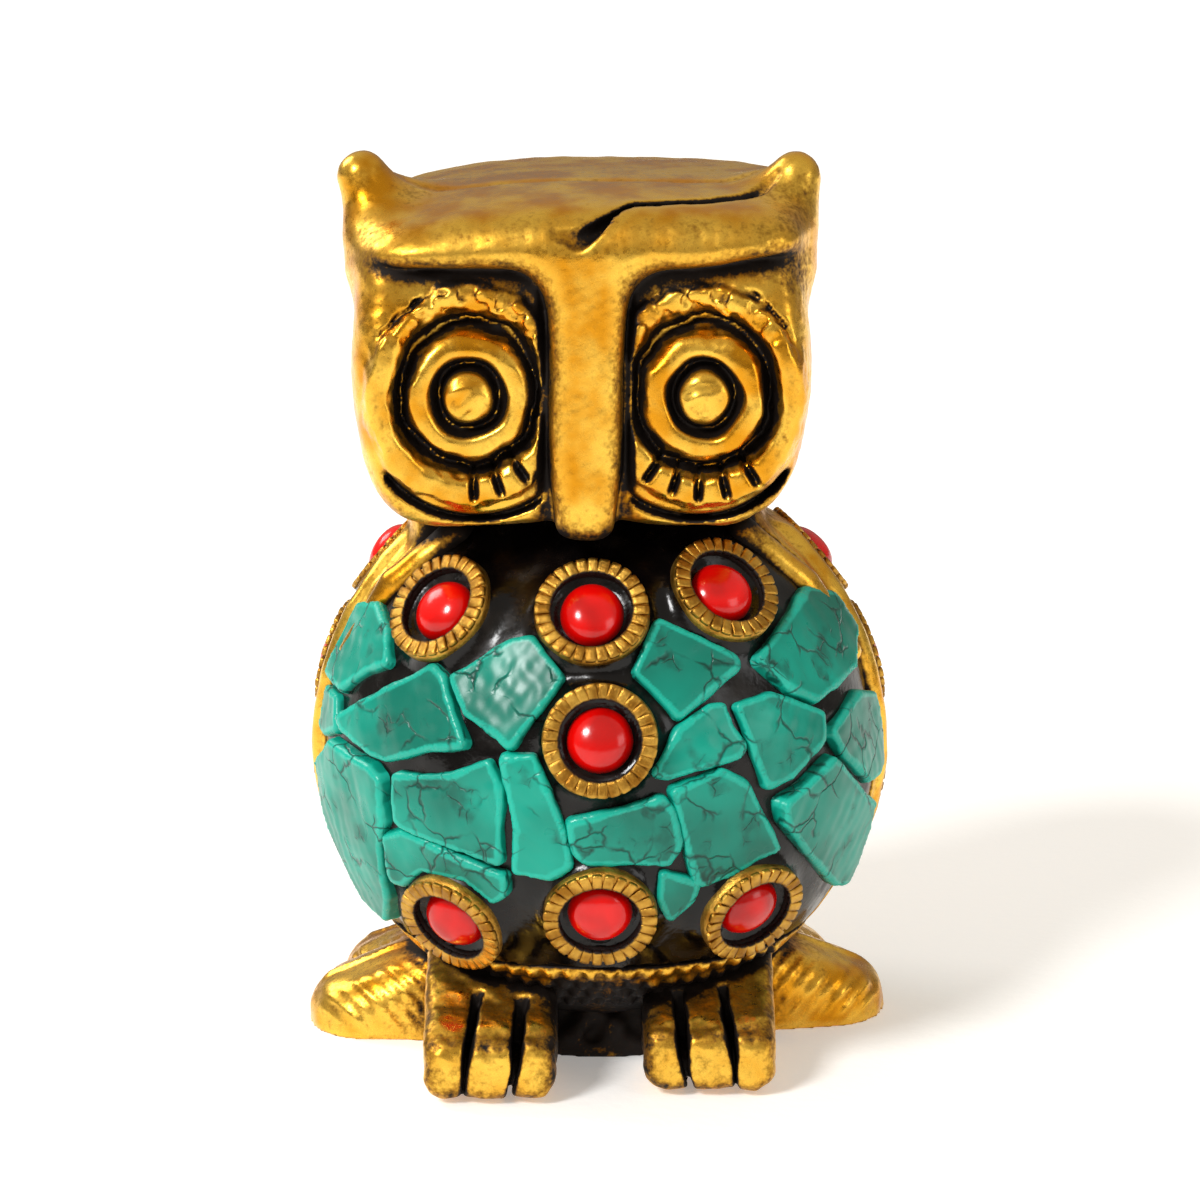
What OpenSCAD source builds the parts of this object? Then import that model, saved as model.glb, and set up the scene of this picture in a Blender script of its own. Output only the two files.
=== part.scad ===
// Owl figurine: one brass casting whose chest and folded wings are shallow beds of black lac.
// Notched brass bezels with coral cabochons and slabs of turquoise are bedded in the lac.
// The owl looks along -Y, stands on z = 0, and its stated lengths are millimetres.

/* [Body] */
// Radius of the round belly, measured to the surface of the lac
belly_r = 23.4; // [23.0:0.1:23.8]
// Height of the middle of the belly above the ground
belly_z = 25.4; // [25:0.1:26]
// Thickness of the lac bed
lac_depth = 3; // [2.8:0.1:3.2]
// Thickness of the brass behind the lac
wall = 3.6; // [3.2:0.1:4.2]

/* [Head] */
// Width of the head across the cheeks
head_w = 36.6; // [35:0.2:38]
// Height of the flat crown above the ground
crown_z = 75; // [74:0.2:76]
// Radius of one eye disc
eye_r = 8.6; // [8.2:0.1:8.8]

/* [Stones] */
// Outside radius of a bezel
bezel_r = 4.6; // [4.4:0.1:4.7]
// How far a chest bezel's rim stands out of the lac
bezel_rise = 1.5; // [1.3:0.1:1.9]
// Number of notches round a bezel's rim
notches = 24; // [16:2:28]
// Radius of a coral cabochon
coral_r = 2.7; // [2.4:0.1:2.8]
// How far a turquoise slab stands out of the lac
slab_rise = 0.6; // [0.4:0.1:0.9]

/* [Feet and tail] */
// Width of one foot
foot_w = 11.4; // [10.6:0.2:12]
// Width of the slot between two toes
toe_gap = 0.7; // [0.5:0.1:1]
// Half the width of one tail feather
feather_r = 5.9; // [5.7:0.1:6.1]

/* [Hidden] */
$fn = 64;

// The figure is placed so that its bounding box is centred on the origin.
set_back = 0.1;

head_x = -1.5;
head_front_y = -18.8;
head_back_y = 14;
head_low_z = 46.8;
head_round = 6;
back_round = 10.5;
ear_reach = 19;
ear_top_z = 76;
brow_low_z = 67.2;
eye_dx = 9.4;
eye_z = 58;
eye_turn = 8;

lac_floor_r = belly_r - lac_depth;
brass_r = belly_r + 0.2;
wing_r = belly_r + 0.8;
cavity_r = lac_floor_r - wall;
mouth_r = 7.5;

wall_of_bezel = 1.35;
bezel_hole_r = bezel_r - wall_of_bezel;
bezel_bury = 1.4;
bezel_well = 1.1;
wing_bezel_rise = 1;
wing_coral_lift = 0.6;
coral_bury = 1;
coral_dome = 1.6;
coral_over_rim = 0.3;
coral_cap_r = coral_r * 1.1;
notch_w = 0.34;
notch_deep = 0.35;

slab_bury = 2.2;
slab_round_r = 40;
slab_fn = 160;
far = 60;

// The lac stops here, and the neck begins.
collar_z = 43.2;
chest_low_z = 10.6;
chest_back = 3.8;
wing_inner_x = 8;
wing_border = 2.1;

// The two arcs that bound a folded wing, seen from the side: [y, z] of their middles, and radii.
wing_front_at = [-4, 25];
wing_front_r = 23.5;
wing_rear_at = [30.2, 31];
wing_rear_r = 34;
wing_top_z = collar_z + 1.4;

// Rows of feathers cut into the back: [degrees up, degrees round from the middle of the back].
back_feather_r = 4.6;
back_feathers = [
  for (row = [0 : 3])
    for (place = row % 2 == 0 ? [-24, 0, 24] : [-12, 12]) [180 + place, 30 - 15 * row]
];
feather_line_w = 0.5;
feather_line_deep = 0.45;

// Where each bezel sits, as [degrees round to the right of the front, degrees up].
chest_bezels = [[-42, 37], [-2, 39], [34, 42], [0, 14], [-34, -27], [0, -22], [34, -24]];
chest_bezel_names = ["top_left", "top_middle", "top_right", "centre",
                     "low_left", "low_middle", "low_right"];
wing_bezels = [[103, 40], [103, 15], [103, -10]];
wing_bezel_names = ["upper", "middle", "lower"];

// Outlines of the turquoise slabs, as the same two angles for each corner.
chest_slabs = [
  [[-80, 16], [-68, 15.5], [-59, 21.5], [-52, 24], [-57, 30], [-67, 33.5], [-79, 31]],
  [[-79, 13], [-70, 13], [-67, 7.5], [-74, 5], [-80, 5]],
  [[-65, 10], [-46, 21], [-38, 25.5], [-35, 24], [-27, 11.5], [-35, 10], [-47, 5.5], [-52, 6], [-62, 8.5]],
  [[-68, 5], [-51, 3.5], [-47.5, 2], [-48, -7], [-51, -13], [-54, -26], [-60, -33], [-70, -31],
   [-78, -16], [-79, -2]],
  [[-33, 24], [-20, 32.5], [-16, 33.5], [-11, 29], [-8, 26], [-11, 21.5], [-18, 12], [-20, 14], [-28, 17.5]],
  [[-44, 3], [-30, 5], [-22, 9], [-19.5, 4], [-19.5, 0], [-20, -11], [-42, -7], [-44, -6]],
  [[-19, 10], [-13, 11], [-7, -4], [-6, -11], [-10, -13.5], [-17, -13], [-16, -4]],
  [[-48.5, -10.5], [-43, -8.5], [-37, -9.5], [-19, -14], [-19.5, -18], [-22, -20], [-28, -15.5], [-39, -15.5],
   [-46, -20], [-49, -20]],
  [[14, 37], [31, 28], [31, 26.5], [16, 18], [7.5, 27]],
  [[44, 31], [64, 38], [76, 34], [79, 26], [69, 20], [50, 17], [43, 20], [36, 27]],
  [[10.5, 7.5], [16, 15.5], [23, 19.5], [26, 19.5], [27, 15], [29.5, 11], [28, 9.5], [13, 6.5]],
  [[29, 19], [38, 20], [51, 14], [50, 9], [40, 3.5], [34.5, 2.5], [32, 9], [30, 16]],
  [[60, 12.5], [67, 14.5], [78, 12], [80, 3], [78, -4], [70, -4], [57, 4.5], [53, 10]],
  [[-6, -2], [12, 2.5], [14, 0], [15.5, -7], [13.5, -10.5], [-3, -10], [-5, -8]],
  [[14, 4], [24, 7], [29.5, 3.5], [33, -3], [38, -11], [33, -12], [26, -15], [20, -16], [17.5, -9]],
  [[37, -1], [52, 5], [68, -7], [75, -10], [76, -16], [73, -27], [64, -25], [57, -21], [46, -13], [38, -5]],
  [[12.5, -13], [20, -16], [19, -20], [15, -24], [12.5, -19]]
];
wing_slabs = [
  [[118, 36], [129, 31], [133, 18], [119, 22]],
  [[119, 17], [134, 13], [133, -3], [120, 2]],
  [[120, -3], [132, -8], [128, -23], [118, -18]],
  [[101, -24], [115, -22], [119, -31], [108, -33]]
];

// The right foot and the tail were set a little askew.
foot_front_y = [-22.4, -20.4];
foot_inner_x = 3.3;
foot_corner_r = 2.4;
slot_deep = 1.5;
slot_low_z = 4.4;
tail_turn = 5;
tail_reach = 25.2;
stand_r = 11;

left = -1;
right = 1;
sides = [["left", left], ["right", right]];

// A point on the ball of radius 1, from its two angles.
function on_ball(angles) = [sin(angles[0]) * cos(angles[1]), -cos(angles[0]) * cos(angles[1]), sin(angles[1])];
function total(points, i = 0) = i == len(points) - 1 ? points[i] : points[i] + total(points, i + 1);
function middle(points) = total(points) / len(points);

// A corner of a slab, seen square on to the place where the slab's middle sits.
function flattened(angles, centre) =
  let (
    point = on_ball(angles) * belly_r,
    east = [cos(centre[0]), sin(centre[0]), 0],
    north = cross(on_ball(centre), east)
  )
  [point * east, point * north];

// Moves things so that their Z axis stands square out of the belly at the two angles.
module out_of_belly(angles, side = right) {
  translate([0, set_back, belly_z])
    rotate([0, 0, side * angles[0]])
      rotate([90 - angles[1], 0, 0])
        children();
}

module belly_ball(r) {
  translate([0, set_back, belly_z]) sphere(r = r);
}

// A plate as thick as the lac, following the belly.
module lac_shell() {
  difference() {
    belly_ball(belly_r);
    belly_ball(lac_floor_r);
  }
}

module wing_side_disc(at, r, side) {
  translate([0, at[0], at[1]]) rotate([0, side * 90, 0]) cylinder(r = r, h = far);
}

// A folded wing seen from the side: a leaf between two arcs, its tip low at the back.
module wing_leaf(inset, side) {
  translate([side * (wing_inner_x + inset), set_back, 0])
    intersection() {
      wing_side_disc(wing_front_at, wing_front_r - inset, side);
      wing_side_disc(wing_rear_at, wing_rear_r - inset, side);
      translate([-far, -far, -far]) cube([2 * far, 2 * far, far + wing_top_z - inset * 2 / 3]);
    }
}

module chest_front() {
  translate([-far / 2, set_back - chest_back - far, chest_low_z]) cube([far, far, collar_z - chest_low_z]);
}

// The shape of the chest's lac before anything is pressed into it.
module chest_bed() {
  difference() {
    intersection() {
      lac_shell();
      chest_front();
    }
    wing_leaf(0, left);
    wing_leaf(0, right);
  }
}

module wing_bed(side) {
  intersection() {
    lac_shell();
    wing_leaf(wing_border, side);
  }
}

// ---- Stones and their settings -------------------------------------------

module bezel(angles, rise, side = right) {
  color("darkgoldenrod")
    out_of_belly(angles, side)
      difference() {
        translate([0, 0, belly_r - bezel_bury]) cylinder(r = bezel_r, h = bezel_bury + rise);
        translate([0, 0, belly_r - bezel_bury - 1]) cylinder(r = bezel_hole_r, h = bezel_bury + rise + 2);
        for (i = [0 : notches - 1])
          rotate([0, 0, i * 360 / notches])
            translate([bezel_hole_r - 1, -notch_w / 2, belly_r + rise - notch_deep])
              cube([wall_of_bezel + 2, notch_w, 1]);
      }
}

// A domed cabochon: a straight girdle under a round cap.
module coral(angles, rise, side = right) {
  color("red")
    out_of_belly(angles, side) {
      translate([0, 0, belly_r - coral_bury]) cylinder(r = coral_r, h = coral_bury + rise - coral_dome);
      intersection() {
        translate([0, 0, belly_r + rise - coral_dome]) cylinder(r = coral_r, h = 3);
        translate([0, 0, belly_r + rise + coral_over_rim - coral_cap_r]) sphere(r = coral_cap_r);
      }
    }
}

module slab_column(corners, side = right) {
  centre = middle(corners);
  out_of_belly(centre, side)
    scale_side(side)
      translate([0, 0, belly_r - slab_bury])
        linear_extrude(height = 8) polygon([for (corner = corners) flattened(corner, centre)]);
}

module scale_side(side) {
  if (side == left) mirror([1, 0, 0]) children();
  else children();
}

module slab(corners, side = right) {
  color("mediumturquoise")
    intersection() {
      slab_column(corners, side);
      out_of_belly(middle(corners), side)
        translate([0, 0, belly_r + slab_rise - slab_round_r]) sphere(r = slab_round_r, $fn = slab_fn);
    }
}

// ---- Lac beds -------------------------------------------------------------

// The lac inside a bezel, standing a little higher than the bed around it.
module bezel_well_lac(angles, rise, side = right) {
  out_of_belly(angles, side)
    translate([0, 0, belly_r - bezel_bury]) cylinder(r = bezel_hole_r, h = bezel_bury + rise - bezel_well);
}

module bezel_ring_space(angles, side = right) {
  out_of_belly(angles, side)
    difference() {
      translate([0, 0, belly_r - bezel_bury]) cylinder(r = bezel_r, h = 8);
      translate([0, 0, belly_r - bezel_bury - 1]) cylinder(r = bezel_hole_r, h = 10);
    }
}

module coral_space(angles, side = right) {
  out_of_belly(angles, side) translate([0, 0, belly_r - coral_bury]) cylinder(r = coral_r, h = 8);
}

module bed_with_pockets(bezels, rise, slabs, side = right) {
  color("black")
    difference() {
      union() {
        children();
        for (angles = bezels) bezel_well_lac(angles, rise, side);
      }
      for (angles = bezels) {
        bezel_ring_space(angles, side);
        coral_space(angles, side);
      }
      for (corners = slabs) slab_column(corners, side);
    }
}

module chest_lac() {
  bed_with_pockets(chest_bezels, bezel_rise, chest_slabs) chest_bed();
}

module wing_lac(side) {
  bed_with_pockets(wing_bezels, wing_bezel_rise, wing_slabs, side) wing_bed(side);
}

// ---- Brass casting --------------------------------------------------------

module head_ball(x, y, z, r) {
  translate([head_x + x, set_back + y, z]) sphere(r = r, $fn = 32);
}

// The face is nearly flat and the back of the head is round.
module head_block() {
  cheek_dx = head_w / 2 - head_round;
  back_dx = head_w / 2 - back_round;
  hull()
    for (side = [left, right]) {
      head_ball(side * (cheek_dx - 1.6), head_front_y + head_round, head_low_z + head_round, head_round);
      head_ball(side * cheek_dx, head_front_y + head_round, 61, head_round);
      head_ball(side * (cheek_dx - 0.6), head_front_y + head_round, crown_z - head_round, head_round);
      head_ball(side * back_dx, head_back_y - back_round, head_low_z + back_round, back_round);
      head_ball(side * back_dx, head_back_y - back_round, crown_z - back_round - 1, back_round);
    }
}

// A low tuft at the top corner of the head.
module ear(side) {
  tip_r = 1.9;
  hull() {
    head_ball(side * (ear_reach - tip_r), -6, ear_top_z - tip_r, tip_r);
    head_ball(side * 13.4, -7, crown_z - 6, 4.6);
    head_ball(side * 12, 2, crown_z - 7, 4.6);
  }
}

// Turns things so that their Z axis looks out of one eye.
module at_eye(side, depth) {
  translate([head_x + side * eye_dx, set_back + depth, eye_z])
    rotate([90, 0, side * eye_turn])
      children();
}

module eye_socket(side) {
  intersection() {
    at_eye(side, head_front_y + 2) cylinder(r = eye_r + 0.7, h = 8);
    translate([head_x + (side == left ? -far - 2.9 : 2.9), -far, 0]) cube([far, far, brow_low_z]);
  }
}

// A pupil inside two raised rings with a groove between them.
module eye(side) {
  intersection() {
    at_eye(side, head_front_y + 3.2)
      rotate_extrude()
        polygon([[0, -2], [0, 3.6], [0.9, 3.4], [1.9, 2.7], [2, 1.9], [2.9, 1.9], [3.1, 2.8], [4.7, 2.8],
                 [4.9, 1.7], [5.9, 1.7], [6.1, 2.6], [7.9, 2.5], [eye_r, 1.7], [eye_r, -2]]);
    translate([head_x + (side == left ? -far - 1 : 1), -far, 0]) cube([far, far, brow_low_z]);
  }
}

module beak() {
  hull() {
    head_ball(0, -16.6, 66, 3);
    head_ball(0, -18, 54, 2.8);
    head_ball(0, -19, 48.4, 1.5);
  }
}

module neck() {
  for (side = [left, right])
    translate([head_x + side * 4.8, set_back + 2, collar_z]) cylinder(r = 11, h = 9);
}

// The lower edges of the feathers that overlap down the back.
module back_feather_lines() {
  for (angles = back_feathers)
    out_of_belly(angles)
      translate([0, 0, brass_r - feather_line_deep])
        difference() {
          cylinder(r = back_feather_r, h = 3);
          translate([0, 0, -1]) cylinder(r = back_feather_r - feather_line_w, h = 5);
          translate([-10, 0, -1]) cube([20, 10, 5]);
        }
}

module head() {
  difference() {
    union() {
      head_block();
      ear(left);
      ear(right);
    }
    eye_socket(left);
    eye_socket(right);
  }
  eye(left);
  eye(right);
  beak();
}

// One foot seen from the side, as [distance behind the toe's front, height].
module foot_side() {
  polygon([[0, 0], [0, 4.2], [0.4, 5.2], [1.3, 6], [6, 8.8], [14, 12], [14, 0]]);
}

// One foot seen from the front, its lower corners rounded.
module foot_front() {
  translate([0, foot_corner_r]) square([foot_w, far]);
  translate([foot_corner_r, 0]) square([foot_w - 2 * foot_corner_r, far]);
  for (x = [foot_corner_r, foot_w - foot_corner_r])
    translate([x, foot_corner_r]) circle(r = foot_corner_r);
}

module foot(side) {
  toe_w = (foot_w - 2 * toe_gap) / 3;
  front_y = foot_front_y[side == left ? 0 : 1];
  translate([side == right ? foot_inner_x : -foot_inner_x - foot_w, set_back + front_y, 0])
    difference() {
      intersection() {
        rotate([90, 0, 90]) linear_extrude(height = foot_w) foot_side();
        translate([0, 14, 0]) rotate([90, 0, 0]) linear_extrude(height = 14) foot_front();
      }
      for (i = [1, 2])
        translate([i * toe_w + (i - 1) * toe_gap, -1, -1]) {
          cube([toe_gap, 1 + slot_deep, far]);
          translate([0, 0, 1 + slot_low_z]) cube([toe_gap, 7, far]);
        }
    }
}

// The tail is fanned round the back of the stand as seven feathers with round tips.
module tail_fan() {
  tip_at = tail_reach - feather_r;
  intersection() {
    translate([0, set_back, 0])
      linear_extrude(height = 11) {
        translate([0, 1]) circle(r = stand_r);
        for (turn = [-84 : 28 : 84])
          rotate([0, 0, turn + tail_turn]) {
            translate([0, tip_at]) circle(r = feather_r);
            translate([-feather_r + 1, 4]) square([2 * feather_r - 2, tip_at - 4]);
          }
      }
    translate([0, set_back, 0]) cylinder(h = 13.6, r1 = 37.5, r2 = 0);
  }
}

// The clay that the brass was cast round, from its mouth under the stand up into the head.
module core_shape() {
  belly_ball(cavity_r);
  translate([0, set_back, 0]) cylinder(r = mouth_r, h = 14);
  translate([head_x, set_back, belly_z]) cylinder(r = 7, h = 34);
  translate([head_x, set_back - 1, 60]) sphere(r = 10);
}

module clay_core() {
  color("rosybrown") core_shape();
}

module brass_casting() {
  color("goldenrod")
    difference() {
      union() {
        difference() {
          union() {
            belly_ball(brass_r);
            intersection() {
              belly_ball(wing_r);
              union() {
                wing_leaf(0, left);
                wing_leaf(0, right);
              }
            }
          }
          back_feather_lines();
          intersection() {
            difference() {
              belly_ball(belly_r + 5);
              belly_ball(lac_floor_r);
            }
            union() {
              difference() {
                chest_front();
                wing_leaf(0, left);
                wing_leaf(0, right);
              }
              wing_leaf(wing_border, left);
              wing_leaf(wing_border, right);
            }
          }
        }
        neck();
        head();
        foot(left);
        foot(right);
        tail_fan();
      }
      core_shape();
    }
}

// ---- The figure -----------------------------------------------------------

brass_casting();
clay_core();
chest_lac();
wing_lac(left);  // left_wing_lac
wing_lac(right);  // right_wing_lac

for (i = [0 : len(chest_bezels) - 1]) {
  bezel(chest_bezels[i], bezel_rise);
  coral(chest_bezels[i], bezel_rise);
}

for (side = sides)
  for (i = [0 : len(wing_bezels) - 1]) {
    bezel(wing_bezels[i], wing_bezel_rise, side[1]);
    coral(wing_bezels[i], wing_bezel_rise + wing_coral_lift, side[1]);
  }

for (i = [0 : len(chest_slabs) - 1])
  slab(chest_slabs[i]);

for (side = sides)
  for (i = [0 : len(wing_slabs) - 1])
    slab(wing_slabs[i], side[1]);
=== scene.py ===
"""An owl figurine of cast brass, its belly and wings set with turquoise and bezelled coral in black lac."""

import logging
import math
from dataclasses import dataclass, field
from enum import Enum
from typing import Callable, Optional, Sequence

import bmesh
import bpy
import numpy as np
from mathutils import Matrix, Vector


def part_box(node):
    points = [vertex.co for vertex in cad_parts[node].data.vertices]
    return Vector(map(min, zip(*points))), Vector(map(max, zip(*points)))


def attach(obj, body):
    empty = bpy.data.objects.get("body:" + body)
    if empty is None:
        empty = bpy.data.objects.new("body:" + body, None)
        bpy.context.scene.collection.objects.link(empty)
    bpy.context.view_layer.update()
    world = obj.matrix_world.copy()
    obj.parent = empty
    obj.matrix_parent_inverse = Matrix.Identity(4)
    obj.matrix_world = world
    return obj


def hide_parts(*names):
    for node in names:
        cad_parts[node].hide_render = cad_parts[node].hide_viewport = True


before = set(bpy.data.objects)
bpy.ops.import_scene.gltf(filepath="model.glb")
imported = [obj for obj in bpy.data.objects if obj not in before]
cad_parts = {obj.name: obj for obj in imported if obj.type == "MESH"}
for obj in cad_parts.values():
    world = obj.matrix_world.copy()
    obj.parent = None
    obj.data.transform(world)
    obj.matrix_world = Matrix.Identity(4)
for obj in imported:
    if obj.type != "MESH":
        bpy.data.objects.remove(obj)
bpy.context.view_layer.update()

log = logging.getLogger("owl")

MM = 0.001
CHEST_BEZEL_RISE = 1.5
UP = np.array([0.0, 0.0, 1.0])

# A solid as a function: points in millimetres go in, distances come out, negative inside.
Solid = Callable[[np.ndarray], np.ndarray]


class Side(Enum):
    """The two sides, as seen by someone facing the owl."""

    LEFT = -1
    RIGHT = 1

    @property
    def word(self) -> str:
        """The side's name in node names."""
        return self.name.lower()


# ---- Shaping with distances -----------------------------------------------------------------


def ease(t: np.ndarray) -> np.ndarray:
    """A smooth step from 0 to 1."""
    t = np.clip(t, 0.0, 1.0)
    return t * t * (3.0 - 2.0 * t)


def melt(a: np.ndarray, b: np.ndarray, soft: float) -> np.ndarray:
    """Joins two solids with a fillet about `soft` millimetres wide."""
    h = np.clip(0.5 + 0.5 * (b - a) / soft, 0.0, 1.0)
    return b + (a - b) * h - soft * h * (1.0 - h)


def keep(a: np.ndarray, b: np.ndarray, soft: float) -> np.ndarray:
    """Keeps what lies in both solids, with a rounded edge between them."""
    return -melt(-a, -b, soft)


def carve(a: np.ndarray, tool: np.ndarray, soft: float) -> np.ndarray:
    """Takes the tool's solid out of the first one, with a rounded edge."""
    return -melt(-a, tool, soft)


def stick(p: np.ndarray, a: Sequence[float], b: Sequence[float], ra: float, rb: float) -> np.ndarray:
    """Distance to a round stick whose radius goes from `ra` at `a` to `rb` at `b`.

    Args:
        p: Points, in millimetres.
        a: Where the stick starts.
        b: Where it ends.
        ra: Radius at the start.
        rb: Radius at the end.

    Returns:
        Distances to the stick.
    """
    start, along = np.asarray(a, float), np.asarray(b, float) - np.asarray(a, float)
    t = np.clip((p - start) @ along / (along @ along), 0.0, 1.0)
    return np.linalg.norm(p - start - t[:, None] * along, axis=1) - (ra + (rb - ra) * t)


def block(p: np.ndarray, centre: Sequence[float], half: Sequence[float], r: float) -> np.ndarray:
    """Distance to a box with every edge rounded to radius `r`.

    Args:
        p: Points, in millimetres.
        centre: The box's middle.
        half: Half its size along each axis.
        r: Radius of its edges.

    Returns:
        Distances to the box.
    """
    q = np.abs(p - np.asarray(centre)) - np.asarray(half) + r
    outside = np.linalg.norm(np.maximum(q, 0.0), axis=1)
    return outside + np.minimum(q.max(axis=1), 0.0) - r


def plate(a: np.ndarray, b: np.ndarray, half_a: float, half_b: float, r: np.ndarray) -> np.ndarray:
    """Distance to a rounded rectangle round the origin; its corners' radii may differ."""
    qa, qb = np.abs(a) - half_a + r, np.abs(b) - half_b + r
    return np.hypot(np.maximum(qa, 0.0), np.maximum(qb, 0.0)) + np.minimum(np.maximum(qa, qb), 0.0) - r


def ripple(p: np.ndarray, wavelength: float, seed: int) -> np.ndarray:
    """A gentle unevenness between about -1 and 1, as a hand leaves in wax.

    Args:
        p: Points, in millimetres.
        wavelength: Usual distance between two rises.
        seed: Picks the pattern.

    Returns:
        A height for each point.
    """
    rng = np.random.default_rng(seed)
    waves = rng.normal(size=(7, 3))
    pace = rng.uniform(0.7, 1.4, size=7) * 2.0 * math.pi / wavelength
    waves *= (pace / np.linalg.norm(waves, axis=1))[:, None]
    phases = rng.uniform(0.0, 2.0 * math.pi, size=7)
    return np.sin(p @ waves.T + phases).sum(axis=1) / 3.0


def line(distance: np.ndarray, width: float) -> np.ndarray:
    """The cross-section of a scribed line: 1 along its middle, fading to nothing on either side."""
    return np.exp(-((distance / width) ** 2))


def scales(a: np.ndarray, b: np.ndarray, pitch: float) -> np.ndarray:
    """Heights, 0 to 1, of rows of overlapping feathers; `a` runs across and `b` up the rows.

    Args:
        a: Distance across, in millimetres.
        b: Distance up, in millimetres.
        pitch: Distance between neighbouring feathers of a row.

    Returns:
        How far each point stands out: most at the feathers' lower edges.
    """
    reach, overlap, quill_width = 0.62 * pitch, 0.3, 0.22
    row = np.floor(b / (pitch / 2.0))
    height = np.zeros_like(a)
    shown = np.zeros_like(a, dtype=bool)
    for above in (2, 1, 0, -1):
        this_row = row + above
        shift = np.where(this_row % 2 == 0, 0.0, pitch / 2.0)
        across = (a - shift + pitch / 2.0) % pitch - pitch / 2.0
        away = np.hypot(across, b - this_row * pitch / 2.0)
        covers = (away < reach) & (b < this_row * pitch / 2.0 + overlap) & ~shown
        quill = 0.25 * line(across, quill_width)
        height = np.where(covers, 0.25 + 0.75 * (away / reach) ** 2 + quill, height)
        shown |= covers
    return height


# ---- From a solid to a mesh -----------------------------------------------------------------


def slopes(solid: Solid, p: np.ndarray, step: float) -> np.ndarray:
    """The direction in which the distance grows fastest, and how fast.

    Args:
        solid: The solid.
        p: Points, in millimetres.
        step: How far to either side to look.

    Returns:
        A direction for each point.
    """
    found = np.empty_like(p)
    for axis in range(3):
        nudge = np.zeros(3)
        nudge[axis] = step
        found[:, axis] = (solid(p + nudge) - solid(p - nudge)) / (2.0 * step)
    return found


def sampled(solid: Solid, low: np.ndarray, cells: np.ndarray, cell: float) -> np.ndarray:
    """The solid's distances on a grid, worked out in full only near the surface.

    Args:
        solid: The solid.
        low: The grid's lowest corner.
        cells: How many cells along each axis.
        cell: Size of a cell, in millimetres.

    Returns:
        The distances, on the grid.
    """
    coarse, margin, batches = 4, 1.9, 12
    blocks = np.ceil((cells + 1) / coarse).astype(int)
    middle = (coarse - 1) / 2.0
    places = np.stack(np.meshgrid(*[np.arange(n) * coarse + middle for n in blocks], indexing="ij"), -1)
    rough = solid(low + places.reshape(-1, 3) * cell).reshape(blocks)
    near = np.abs(rough) < coarse * cell * margin
    for axis in range(3):
        rough = rough.repeat(coarse, axis)
        near = near.repeat(coarse, axis)
    index = np.argwhere(near)
    rough[near] = np.concatenate([solid(low + part * cell) for part in np.array_split(index, batches)])
    return rough


def skin(solid: Solid, low: Sequence[float], high: Sequence[float], cell: float) -> tuple:
    """Wraps a solid in a closed skin of quads.

    Args:
        solid: The solid to wrap.
        low: Lowest corner of the space that holds it.
        high: Highest corner of that space.
        cell: Size of a quad, in millimetres.

    Returns:
        The vertices and the quads.
    """
    low = np.asarray(low, float)
    cells = np.ceil((np.asarray(high, float) - low) / cell).astype(int)
    value = sampled(solid, low, cells, cell)
    inside = value < 0.0
    shape = np.array(value.shape) - 1
    total = np.zeros((*shape, 3))
    count = np.zeros(shape, int)
    crossings = []
    for axis in range(3):
        first = [slice(None)] * 3
        second = [slice(None)] * 3
        first[axis], second[axis] = slice(0, -1), slice(1, None)
        crossed = inside[tuple(first)] != inside[tuple(second)]
        at = np.argwhere(crossed)
        a, b = value[tuple(first)][crossed], value[tuple(second)][crossed]
        point = at.astype(float)
        point[:, axis] += a / (a - b)
        sideways = [d for d in range(3) if d != axis]
        interior = np.ones(len(at), bool)
        for d in sideways:
            interior &= (at[:, d] > 0) & (at[:, d] < shape[d])
        at, point = at[interior], point[interior]
        around = []
        for da, db in ((0, 0), (1, 0), (1, 1), (0, 1)):
            owner = at.copy()
            owner[:, sideways[0]] -= da
            owner[:, sideways[1]] -= db
            around.append(owner)
            np.add.at(total, tuple(owner.T), point)
            np.add.at(count, tuple(owner.T), 1)
        crossings.append((axis, np.stack(around, 1), inside[tuple(at.T)]))
    used = count > 0
    number = np.full(shape, -1)
    number[used] = np.arange(used.sum())
    vertices = low + total[used] / count[used][:, None] * cell
    quads = []
    for axis, around, starts_inside in crossings:
        faces = number[tuple(np.moveaxis(around, -1, 0))]
        flip = starts_inside if axis == 1 else ~starts_inside
        faces[flip] = faces[flip][:, ::-1]
        quads.append(faces)
    passes, step, farthest = 3, 0.05, 0.3 * cell
    for _ in range(passes):
        slope = slopes(solid, vertices, step)
        steep = np.maximum((slope**2).sum(axis=1), 0.2)
        move = (solid(vertices) / steep)[:, None] * slope
        vertices = vertices - np.clip(move, -farthest, farthest)
    return vertices, np.concatenate(quads)


def linked(name: str, data: bpy.types.ID) -> bpy.types.Object:
    """Makes an object that shows the mesh, lamp or camera, and adds it to the scene."""
    made = bpy.data.objects.new(name, data)
    bpy.context.scene.collection.objects.link(made)
    return made


def settled_mesh(piece: bpy.types.Object) -> bpy.types.Mesh:
    """A plain mesh of the piece as its modifiers leave it."""
    bpy.context.view_layer.update()
    seen = piece.evaluated_get(bpy.context.evaluated_depsgraph_get())
    return bpy.data.meshes.new_from_object(seen)


def mesh_object(name: str, vertices: np.ndarray, faces: Sequence) -> bpy.types.Object:
    """Makes a smooth-shaded mesh object from points in millimetres.

    Args:
        name: The object's name.
        vertices: Its vertices, in millimetres.
        faces: The vertex numbers of each face.

    Returns:
        The object.
    """
    mesh = bpy.data.meshes.new(name)
    mesh.from_pydata((np.asarray(vertices) * MM).tolist(), [], np.asarray(faces).tolist())
    mesh.shade_smooth()
    return linked(name, mesh)


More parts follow.
